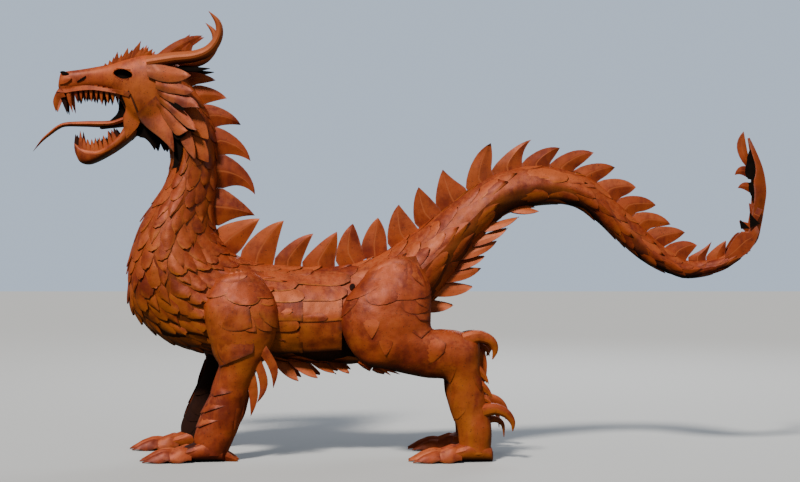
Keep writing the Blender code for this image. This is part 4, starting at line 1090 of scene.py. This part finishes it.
head = {
    "skull": ((-338.5, 381.5, -341, 366.5, 5.5), (-333, 383, -335, 362, 8.5), (-318, 385, -320, 364, 10),
              (-300, 388, -302, 364, 12), (-287, 391, -288, 361, 14.5), (-278, 394, -278, 352, 17.5),
              (-269, 397, -269, 336, 20), (-259, 400, -258, 327, 22), (-248, 401, -248, 324, 23),
              (-233, 396, -236, 324, 21.5), (-219, 388, -224, 330, 17)),
    "muzzle": ((-344, 358), (-337, 360), (-320, 364), (-302, 365), (-287, 362), (-272, 356)),
    "muzzleHalf": ((-344, 6), (-320, 10), (-302, 12), (-287, 14.5), (-272, 17.5)),
    # sheets drawn from the side: upper rim, lower rim, least distance out at root and tip, lifts,
    # fold, lift of the lower rim, painted shade
    "sheets": (
        (((-340.5, 366.5), (-334, 369), (-326, 368.5), (-310, 369), (-295, 366.5), (-280, 364.5),
          (-269, 361.5)),
         ((-343, 362.5), (-334, 361.5), (-326, 363), (-310, 364.5), (-295, 363), (-282, 360.5),
          (-271, 357)),
         (6, 15), (0.006, 0.008), 0, 0.004, 0),  # lip
        (((-339, 368.5), (-343, 363.5), (-345.8, 357.5), (-346.8, 352.5), (-345.7, 347.5), (-344, 343)),
         ((-334, 357.5), (-338, 356.5), (-340, 355), (-341.4, 351.5), (-342.4, 347.5), (-343.7, 343)),
         (7, 3), (0.004, 0.0), 0.004, 0, 0),  # beak
        (((-339.5, 378), (-334, 378.3), (-328.5, 377)),
         ((-340.5, 369.5), (-334, 371), (-329, 374.5)),
         (0, 0), (0.004, 0.009), 0.003, 0, 0),  # nose
        (((-323, 373), (-318, 376.3), (-314, 378.6)),
         ((-323, 372.2), (-317, 374.4), (-314, 377.4)),
         (0, 0), (0.002, 0.003), 0, 0, 0.9),  # slit in the muzzle, painted black as the shade inside it
        (((-279, 360.5), (-281, 352.5), (-281.5, 344.5), (-284, 339.5), (-290, 334)),
         ((-273, 359.5), (-273.5, 350.5), (-273, 343.5), (-275, 336.5), (-284, 330.5)),
         (3, 3), (0.0, 0.0), 0, 0, 0.97),  # corner of the mouth, painted black as shade
        (((-275, 338), (-284, 332), (-300, 327.6)),
         ((-275, 328), (-286, 327), (-300, 325.5)),
         (3, 3), (0.0, 0.0), 0, 0, 0.97),  # below the tongue, painted black as shade
        (((-271, 364), (-266, 354.5), (-260.5, 339.5)),
         ((-272, 363), (-267.4, 353.5), (-261.7, 338)),
         (15, 17), (0.003, 0.005), 0, 0, 0.85),  # crease before the cheek, painted dark as shade
        (((-278, 358.5), (-274.5, 350.5), (-274.5, 343.5), (-276.5, 338.5), (-276.5, 331.5),
          (-275.2, 323.5), (-273.5, 316)),
         ((-269, 358.5), (-265.5, 348.5), (-262, 339.5), (-260, 333), (-262, 327.5), (-267, 322),
          (-272.5, 316)),
         (15, 13.5), (0.0, 0.004), 0.004, 0, 0),  # jaw hinge
        (((-222, 346.5), (-214, 334.5), (-209, 322.5), (-205, 308.5), (-204, 296.5)),
         ((-230, 334.5), (-224, 322.5), (-218, 311.5), (-213, 303.5), (-205.5, 295.5)),
         (19, 24), (0.0, 0.012), 0.006, 0.006, 0),  # leaf 6
        (((-242, 355.5), (-232, 347.5), (-223, 337.5), (-216, 329.5), (-211.5, 323.5)),
         ((-244, 346.5), (-236, 335.5), (-229, 325.5), (-222, 318.5), (-213, 322.9)),
         (19, 25), (0.004, 0.016), 0.006, 0.006, 0),  # leaf 5
        (((-240, 359.5), (-228, 352.5), (-218, 346), (-210, 337.5), (-205, 330.5), (-202.5, 324.5)),
         ((-240, 351.5), (-231, 344), (-223, 336), (-216, 329.5), (-210, 325.5), (-203, 323.9)),
         (20, 28), (0.006, 0.022), 0.006, 0.01, 0),  # leaf 4
        (((-242, 366.5), (-230, 363), (-220, 361), (-210, 357.5), (-204, 353.5), (-200, 347)),
         ((-242, 360.5), (-233, 354), (-224, 350), (-216, 346.5), (-208, 347), (-200, 346.5)),
         (20, 28), (0.006, 0.022), 0.006, 0.01, 0),  # leaf 3
        (((-244, 374.5), (-232, 373), (-220, 370.5), (-212, 367.5), (-206, 363.5)),
         ((-244, 365.5), (-233, 361.5), (-222, 360), (-213, 359), (-206, 362.7)),
         (19, 27), (0.008, 0.022), 0.006, 0.01, 0),  # leaf 2
        (((-254, 389.5), (-242, 390), (-230, 388), (-218, 384.5), (-208.5, 379)),
         ((-252, 377.5), (-240, 373), (-228, 371.5), (-217, 373.5), (-208.5, 378)),
         (18, 26), (0.004, 0.02), 0.008, 0.012, 0),  # leaf 1
        (((-244, 358.5), (-237, 346.5), (-232, 336.5), (-228, 325.5), (-226, 314.5), (-225.2, 302.5)),
         ((-263, 340.5), (-258, 332.5), (-250, 324.5), (-240, 317), (-232, 309.5), (-225.8, 302.5)),
         (18, 24), (0.006, 0.024), 0.01, 0.006, 0),  # great leaf
        (((-235, 357.5), (-229, 353.5), (-222, 350.5), (-215, 345.5)),
         ((-235, 355.5), (-229, 350), (-222, 345.5), (-214.5, 343)),
         (20, 28), (0.011, 0.028), 0, 0, 0.95),  # shade below leaf 3
        (((-236, 343), (-226, 336.5), (-216, 331), (-205, 325.5)),
         ((-236, 339), (-226, 330.5), (-216, 325), (-205, 322)),
         (19.5, 26.5), (0.008, 0.018), 0, 0, 0.95),  # shade below leaf 4
        (((-238, 335), (-230, 327.5), (-222, 320.5), (-214, 323)),
         ((-238, 331.5), (-230, 322.5), (-222, 314.5), (-214, 319)),
         (19, 24.5), (0.004, 0.012), 0, 0, 0.93),  # shade below leaf 5
        (((-229, 322), (-227, 310), (-226, 299), (-227, 286)),
         ((-221, 322), (-219, 311), (-218, 303), (-222.5, 287)),
         (19, 22), (0.0, 0.002), 0, 0, 0.95),  # shade beside the great leaf
        (((-210, 352), (-200, 342), (-193, 328), (-191, 316)),
         ((-221, 340), (-212, 327), (-204, 319), (-192, 315)),
         (19, 21), (0.0, 0.008), 0.003, 0, 0.1),  # leaf on the neck
        (((-207, 332), (-198, 320), (-192, 305), (-191, 293)),
         ((-217, 320), (-209, 307), (-203, 297), (-192, 292)),
         (18.5, 20), (0.0, 0.008), 0.003, 0, 0.1),  # leaf on the neck 2
        (((-232, 384.5), (-222, 388), (-214, 389), (-204, 387.7), (-190, 386.2)),
         ((-230, 381.5), (-220, 383.5), (-212, 383.5), (-202, 383), (-190, 385.5)),
         (14, 15), (0.0, 0.004), 0.003, 0, 0.95),  # shaded leaf
        (((-261, 332.5), (-252, 326.5), (-245, 318.5), (-243, 311.5), (-245, 304.5)),
         ((-264, 318.5), (-257, 317), (-252, 313.5), (-248, 308.5), (-245.7, 304.5)),
         (9, 10), (0.0, 0.0), 0.003, 0, 0.9),  # throat leaf, painted black as shade
        (((-250, 327.5), (-240, 320.5), (-235, 313.5), (-233.5, 307.5), (-235, 303.5)),
         ((-251, 320.5), (-244, 316.5), (-240, 311.5), (-237.5, 306.5), (-235.7, 303.5)),
         (7, 8), (0.0, 0.0), 0.003, 0, 0.9)),  # throat leaf 2, painted black as shade
    # ragged brow: root x, z, tip x, z, width; then bulge of the edges, rib, depth below the skin
    "spikes": ((-292, 387, -293, 390.5, 5), (-287, 388.5, -288.5, 393.5, 6),
               (-282, 390, -280.5, 401.7, 7), (-277.5, 392, -276.5, 399.5, 6),
               (-273, 393.5, -270, 405.5, 8), (-268.5, 395.5, -265.5, 404, 7),
               (-264, 396.5, -256.8, 412.2, 9), (-259, 397.5, -254, 406.5, 8),
               (-255, 398.5, -249, 406, 8), (-251, 399, -245, 404, 8),
               (-284.5, 389, -284.5, 396.5, 5), (-266.5, 396, -261.5, 407, 6)),
    "spikeShape": (0.02, -0.04, 0.004, 0.03),
    "jaw": ((-325, 313, -324, 301, 5), (-320, 309, -319, 292, 9), (-311, 306, -310, 290, 11),
            (-299, 305, -298, 295, 12.5), (-288, 311, -283, 304, 14), (-279, 320, -272, 312, 14),
            (-272, 334, -260, 322, 13)),
    # x, z, lean outwards and radius; the far horn is shorter and stands further forward
    "horn": ((-250, 390, 0, 6.8), (-225, 394, 0.1, 6.4), (-204, 396, 0.3, 6.0), (-190, 401, 0.45, 5.6),
             (-181.5, 410, 0.6, 4.8), (-178, 420, 0.75, 3.8), (-180, 430, 0.9, 2.8),
             (-188.5, 440, 1.0, 0.2)),
    "farHorn": (5, 9),
    # two root points x, z and their distance out, tip, bulge of the edges, rib, depth below the skin
    "plume": ((-243, 399, -226, 397.5, 4.2, -196.5, 418, 6.3, 0.13, 0.02, 0.010, 0.03),
              (-225, 408, -213, 405, 4.62, -209, 419.5, 5.46, 0.03, -0.05, 0.006, 0.02),
              (-219, 406, -209, 405, 5.04, -205, 415.5, 5.88, 0.03, -0.05, 0.005, 0.02)),
    # x, z, half length, half height, tilt
    "eye": (-273.7, 378.6, 10.0, 4.9, 0.16), "eyeBack": (-273.7, 378.6, 11.0, 5.9, 0.16),
    "nostril": (-333.5, 380.3, 4.6, 2.0, 0.25),
    # metres from the middle plane: the eye's cut, its dark back and the nostril
    "eyeCut": (0.074, 0.25), "eyeFloor": (0.079, 0.083), "nostrilOut": (0.012, 0.057),
    "jawSheet": (((-323, 307.5), (-316, 301.5), (-308, 300), (-300, 300.5), (-292, 303.5), (-286, 306.5)),
                 ((-322, 298.5), (-317, 293.5), (-310, 292.2), (-301, 295.5), (-292, 299.5),
                  (-285, 303.5))),
    # root x, z and distance out, tip, radius, bow, painted shade: the first is painted dark as it stands in
    # the shade of the beak
    "fangs": ((-336.5, 363, 5, -331.5, 340, 4, 0.026, 0.0, 0.95),
              (-330, 364, 7.5, -325.7, 341.5, 7, 0.02, 0.004, 0.0)),
    # teeth: root x, tip x, tip z, of the rows in the light and the rows in the shade
    "upperTeeth": (
        ((-323.5, -320.7, 351), (-318, -316.5, 352.5), (-312.5, -311.5, 354), (-307.5, -306.5, 352),
         (-302, -301.2, 353), (-297, -296, 349), (-291.5, -289.7, 350), (-286, -284, 350.5)),
        ((-320, -320, 351), (-315, -314, 353), (-309.5, -309.5, 353), (-304.5, -304, 351.5),
         (-299, -299, 353.5), (-295, -296.2, 349), (-289, -289.5, 350))),
    "lowerTeeth": (
        ((-317, -318.2, 323.2), (-313, -314.7, 315.5), (-309, -310.5, 315), (-304.5, -306.5, 315),
         (-300.5, -303, 315.8), (-296, -299, 316.3), (-291.5, -294.5, 318.3), (-286.5, -290, 322.7),
         (-282.5, -286.5, 324.3)),
        ((-321.5, -323.6, 320), (-302, -303.5, 316.5), (-298, -299.5, 316.7), (-293, -295.5, 318.5),
         (-284, -290.5, 323.2), (-280.5, -285, 326.5))),
    # x, z, radius
    "tongue": ((-256, 339.3, 3.4), (-266, 337.5, 3.4), (-276, 334.5, 3.7), (-290, 330.5, 3.5),
               (-315, 330.5, 2.9), (-334, 330, 2.3), (-342, 327, 2.1), (-350, 321, 1.8),
               (-358, 314, 1.3), (-367, 303, 0.1)),
}


def prism(name, outline, *ends):
    # A cutter between two distances from the middle plane, from an outline in the side view
    low, high = sorted(ends)
    bpy.ops.object.select_all(action="DESELECT")
    bpy.ops.mesh.primitive_circle_add(vertices=len(outline), fill_type="NGON")
    piece = bpy.context.active_object
    piece.name = name
    for vertex, (x, z) in zip(piece.data.vertices, outline):
        vertex.co = metres(x, z) + np.array((0, low, 0))
    bpy.ops.object.mode_set(mode="EDIT")
    bpy.ops.mesh.select_all(action="SELECT")
    bpy.ops.mesh.extrude_region_move(TRANSFORM_OT_translate={"value": (0, high - low, 0)})
    bpy.ops.mesh.select_all(action="SELECT")
    bpy.ops.mesh.normals_make_consistent(inside=False)
    bpy.ops.object.mode_set(mode="OBJECT")
    return piece


def cutWith(mesh, cutters):
    # Takes the cutters away from the mesh
    piece = asObject(mesh)
    for cutter in cutters:
        cut = piece.modifiers.new("cut", "BOOLEAN")
        cut.operation = "DIFFERENCE"
        cut.solver = "EXACT"
        cut.object = cutter
    applyModifiers(piece)
    for cutter in cutters:
        bpy.data.objects.remove(cutter)
    bpy.data.objects.remove(piece)


def toothMesh(root, tip, width, bow=0.0, grime=0.0):
    root, tip = np.array(root), np.array(tip)
    bend = (root + tip) / 2 + np.array((-bow, 0, 0))
    mesh = hornMesh([root, bend, tip], [width, width * 0.66, width * 0.05], 0.5, 8, 8)
    setTone(mesh, random.random(), grime)
    return mesh


def almond(x, z, halfLength, halfHeight, tilt):
    corners = 20
    turns = [2 * math.pi * k / corners for k in range(corners)]
    return [(x + halfLength * math.cos(t),
             z + halfHeight * math.copysign(abs(math.sin(t)) ** 1.3, math.sin(t))
             - tilt * halfLength * math.cos(t)) for t in turns]


def makeSkull():
    skull = tubeSurface(head["skull"], 0.0, 0.8)
    base = tubeMesh("skull", skull, 150, 64)
    cover = skinFrom(base)
    sheets, shades = [base], []
    for side in (-1, 1):
        for upper, lower, outs, lifts, fold, tilt, grime in head["sheets"]:
            def shadeDarkening(a, b, least=grime, leaf=outs[1] > 23):
                # painted shade: leaves are darker along their lower rim and near their root
                return np.maximum(least, leaf * (0.4 * ((b + 1) / 2) ** 3 + 0.25 * (1 - a) ** 3))

            sheet = cutSheet(cover, side, upper, lower, outs, lifts, fold, tilt, grime=shadeDarkening,
                             columns=16, rows=8)
            (shades if grime > 0.85 else sheets).append(sheet)
    for side in (-1, 1):
        near, far = head["eyeCut"]
        cutWith(base, [prism("eye", almond(*head["eye"]), near * side, far * side)])
    return sheets, shades


def toothRow(rows, side, halves, rim, radius, inward, grime=0.0):
    # Flat pointed teeth along a lip
    sheets = []
    for x, tipX, tipZ in rows:
        half = np.interp(x, halves[:, 0], halves[:, 1]) * inward * side
        root = np.interp(x, rim[:, 0], rim[:, 1])
        sheets.append(toothMesh(metres(x, root, half), metres(tipX, tipZ, half), radius, grime=grime))
    return sheets


def makeHead():
    sheets, dark = makeSkull()
    lips, halves = np.array(head["muzzle"], float), np.array(head["muzzleHalf"], float)
    lips[:, 1] += 3
    for side in (-1, 1):
        for x, z, tipX, tipZ, width in head["spikes"]:
            back = 2 if side > 0 else 0  # the far brow shows between the near spikes
            half = 0.62 * width
            out = np.interp(x, (-290, -250), (8, 12)) * side
            tip = metres(tipX + back, tipZ - back / 2, out * 1.1)
            sheets.append(bladeMesh(metres(x - half + back, z - 1, out), metres(x + half + back, z, out),
                                    tip, *head["spikeShape"]))
        for x, z, out, tipX, tipZ, tipOut, *shape in head["fangs"]:
            sheets.append(toothMesh(metres(x, z, out * side), metres(tipX, tipZ, tipOut * side), *shape))
        lit, shaded = head["upperTeeth"]
        sheets += toothRow(lit, side, halves, lips, 0.016, 0.8)
        sheets += toothRow(shaded, side, halves, lips, 0.025, 0.6, 0.95)
    joinAs("head_skin", sheets, headRust, "head_steel", "head_shell")

    # The dark inside of the eyes, the nostrils, the mouth and the gaps of the mane, painted black as shade
    for side in (-1, 1):
        for name, outline, (near, far) in (("eye_back", head["eyeBack"], head["eyeFloor"]),
                                           ("nostril", head["nostril"], head["nostrilOut"])):
            dark.append(prism(name, almond(*outline), near * side, far * side).data)
    for piece in [o for o in bpy.data.objects if o.name.startswith(("eye_back", "nostril"))]:
        bpy.data.objects.remove(piece)
    for mesh in dark:
        setTone(mesh, 0.0)
    joinAs("head_hollows", dark, soot, "head_steel")


def makeJaw():
    jaw = tubeSurface(head["jaw"], 0.0, 0.65)
    base = tubeMesh("jaw", jaw, 40, 30)
    cover = skinFrom(base)
    sheets = [base]
    rows = np.array([(row[0], row[1] - 4, row[4]) for row in head["jaw"]], float)
    for side in (-1, 1):
        lit, shaded = head["lowerTeeth"]
        sheets += toothRow(lit, side, rows[:, (0, 2)], rows[:, :2], 0.021, 0.74)
        sheets += toothRow(shaded, side, rows[:, (0, 2)], rows[:, :2], 0.024, 0.5, 0.93)
        sheets.append(cutSheet(cover, side, *head["jawSheet"], (0, 0), (0.002, 0.002)))
    joinAs("jaw_skin", sheets, headRust, "head_steel", "lower_jaw")


def makeTongue():
    path = [metres(x, z) for x, z, radius in head["tongue"]]
    radii = [radius * square for x, z, radius in head["tongue"]]
    joinAs("tongue_strip", [hornMesh(path, radii, 1.7, 60, 12, keel=1.5)], headRust, "head_steel",
           "tongue")


def makeHorns():
    for name, side, shorter, forward in (("horn_left", -1, 0, 0), ("horn_right", 1, *head["farHorn"])):
        path = [metres(x - forward * min(2 * lean, 1), z - shorter * lean, (14 + 8 * lean) * side)
                for x, z, lean, radius in head["horn"]]
        radii = [row[3] * square for row in head["horn"]]
        joinAs(name + "_skin", [hornMesh(path, radii, 1.0, 50, 16, keel=1.5)], bladeRust, "blade_steel",
               name)
    for name, side in (("plume_left", -1), ("plume_right", 1)):
        sheets = []
        for x, z, xNext, zNext, out, tipX, tipZ, tipOut, *shape in head["plume"]:
            sheets.append(bladeMesh(metres(x, z, out * side), metres(xNext, zNext, out * side),
                                    metres(tipX, tipZ, tipOut * side), *shape))
        joinAs(name + "_skin", sheets, bladeRust, "blade_steel", name)


makeHead()
makeJaw()
makeTongue()
makeHorns()
print("head made")


# Floor, light and camera

stage = {
    # colours of the floor and of the sky, with its strength: first for the light that they throw,
    # then as the camera sees them
    "floor": ((0.09, 0.1, 0.08, 1), (0.55, 0.56, 0.57, 1)),
    "sky": (((0.7, 0.8, 0.95, 1), 0.26), ((0.62, 0.75, 0.92, 1), 0.85)),
    # kind, place, aim, size or angle, power, colour
    "key": ("SUN", (-3.5, -6.0, 9.0), (-0.2, 0, 1.3), 0.16, 4.2, (1.0, 0.94, 0.84)),
    "fill": ("AREA", (7, -8, 5), (0.5, 0, 1.2), 4.0, 110, (0.85, 0.92, 1.0)),
    "rim": ("AREA", (2, 7, 7), (0, 0, 1.5), 4.0, 320, (0.9, 0.95, 1.0)),
}


def chooseShader(tree, thrown, seen, out):
    # The camera sees one shader, and every other ray meets the other
    rays, choose = tree.nodes.new("ShaderNodeLightPath"), tree.nodes.new("ShaderNodeMixShader")
    tree.links.new(rays.outputs["Is Camera Ray"], choose.inputs["Fac"])
    tree.links.new(thrown.outputs[0], choose.inputs[1])
    tree.links.new(seen.outputs[0], choose.inputs[2])
    tree.links.new(choose.outputs[0], tree.nodes[out].inputs["Surface"])


def makeStage():
    bpy.ops.mesh.primitive_plane_add(size=60)
    floor = bpy.context.active_object
    floor.name = "floor"
    finish = bpy.data.materials.new("pale floor")
    finish.use_nodes = True
    ground = finish.node_tree
    ground.nodes.remove(ground.nodes["Principled BSDF"])
    shaders = [ground.nodes.new("ShaderNodeBsdfDiffuse") for _ in stage["floor"]]
    for shader, colour in zip(shaders, stage["floor"]):
        shader.inputs["Color"].default_value = colour
    chooseShader(ground, *shaders, "Material Output")
    floor.data.materials.append(finish)

    world = bpy.data.worlds.new("studio")
    bpy.context.scene.world = world
    world.use_nodes = True
    air = world.node_tree
    shaders = (air.nodes["Background"], air.nodes.new("ShaderNodeBackground"))
    for shader, (colour, strength) in zip(shaders, stage["sky"]):
        shader.inputs["Color"].default_value = colour
        shader.inputs["Strength"].default_value = strength
    chooseShader(air, *shaders, "World Output")

    for name in ("key", "fill", "rim"):
        kind, place, aim, size, power, colour = stage[name]
        bpy.ops.object.light_add(type=kind, location=place)
        lamp = bpy.context.active_object
        lamp.name = name
        if kind == "SUN":
            lamp.data.angle = size
        else:
            lamp.data.size = size
        lamp.data.energy = power
        lamp.data.color = colour
        lamp.rotation_euler = (Vector(aim) - Vector(place)).to_track_quat("-Z", "Y").to_euler()

    bpy.ops.object.camera_add(location=(0, -camera["away"], camera["height"] * square),
                              rotation=(math.radians(90), 0, 0))
    view = bpy.context.active_object
    view.data.lens = camera["lens"]
    view.data.sensor_width = camera["sensor"]
    view.data.shift_y = camera["shift"]
    bpy.context.scene.camera = view


makeStage()
for *_, pattern in patterns.values():
    bpy.data.objects.remove(pattern)
print("stage made")
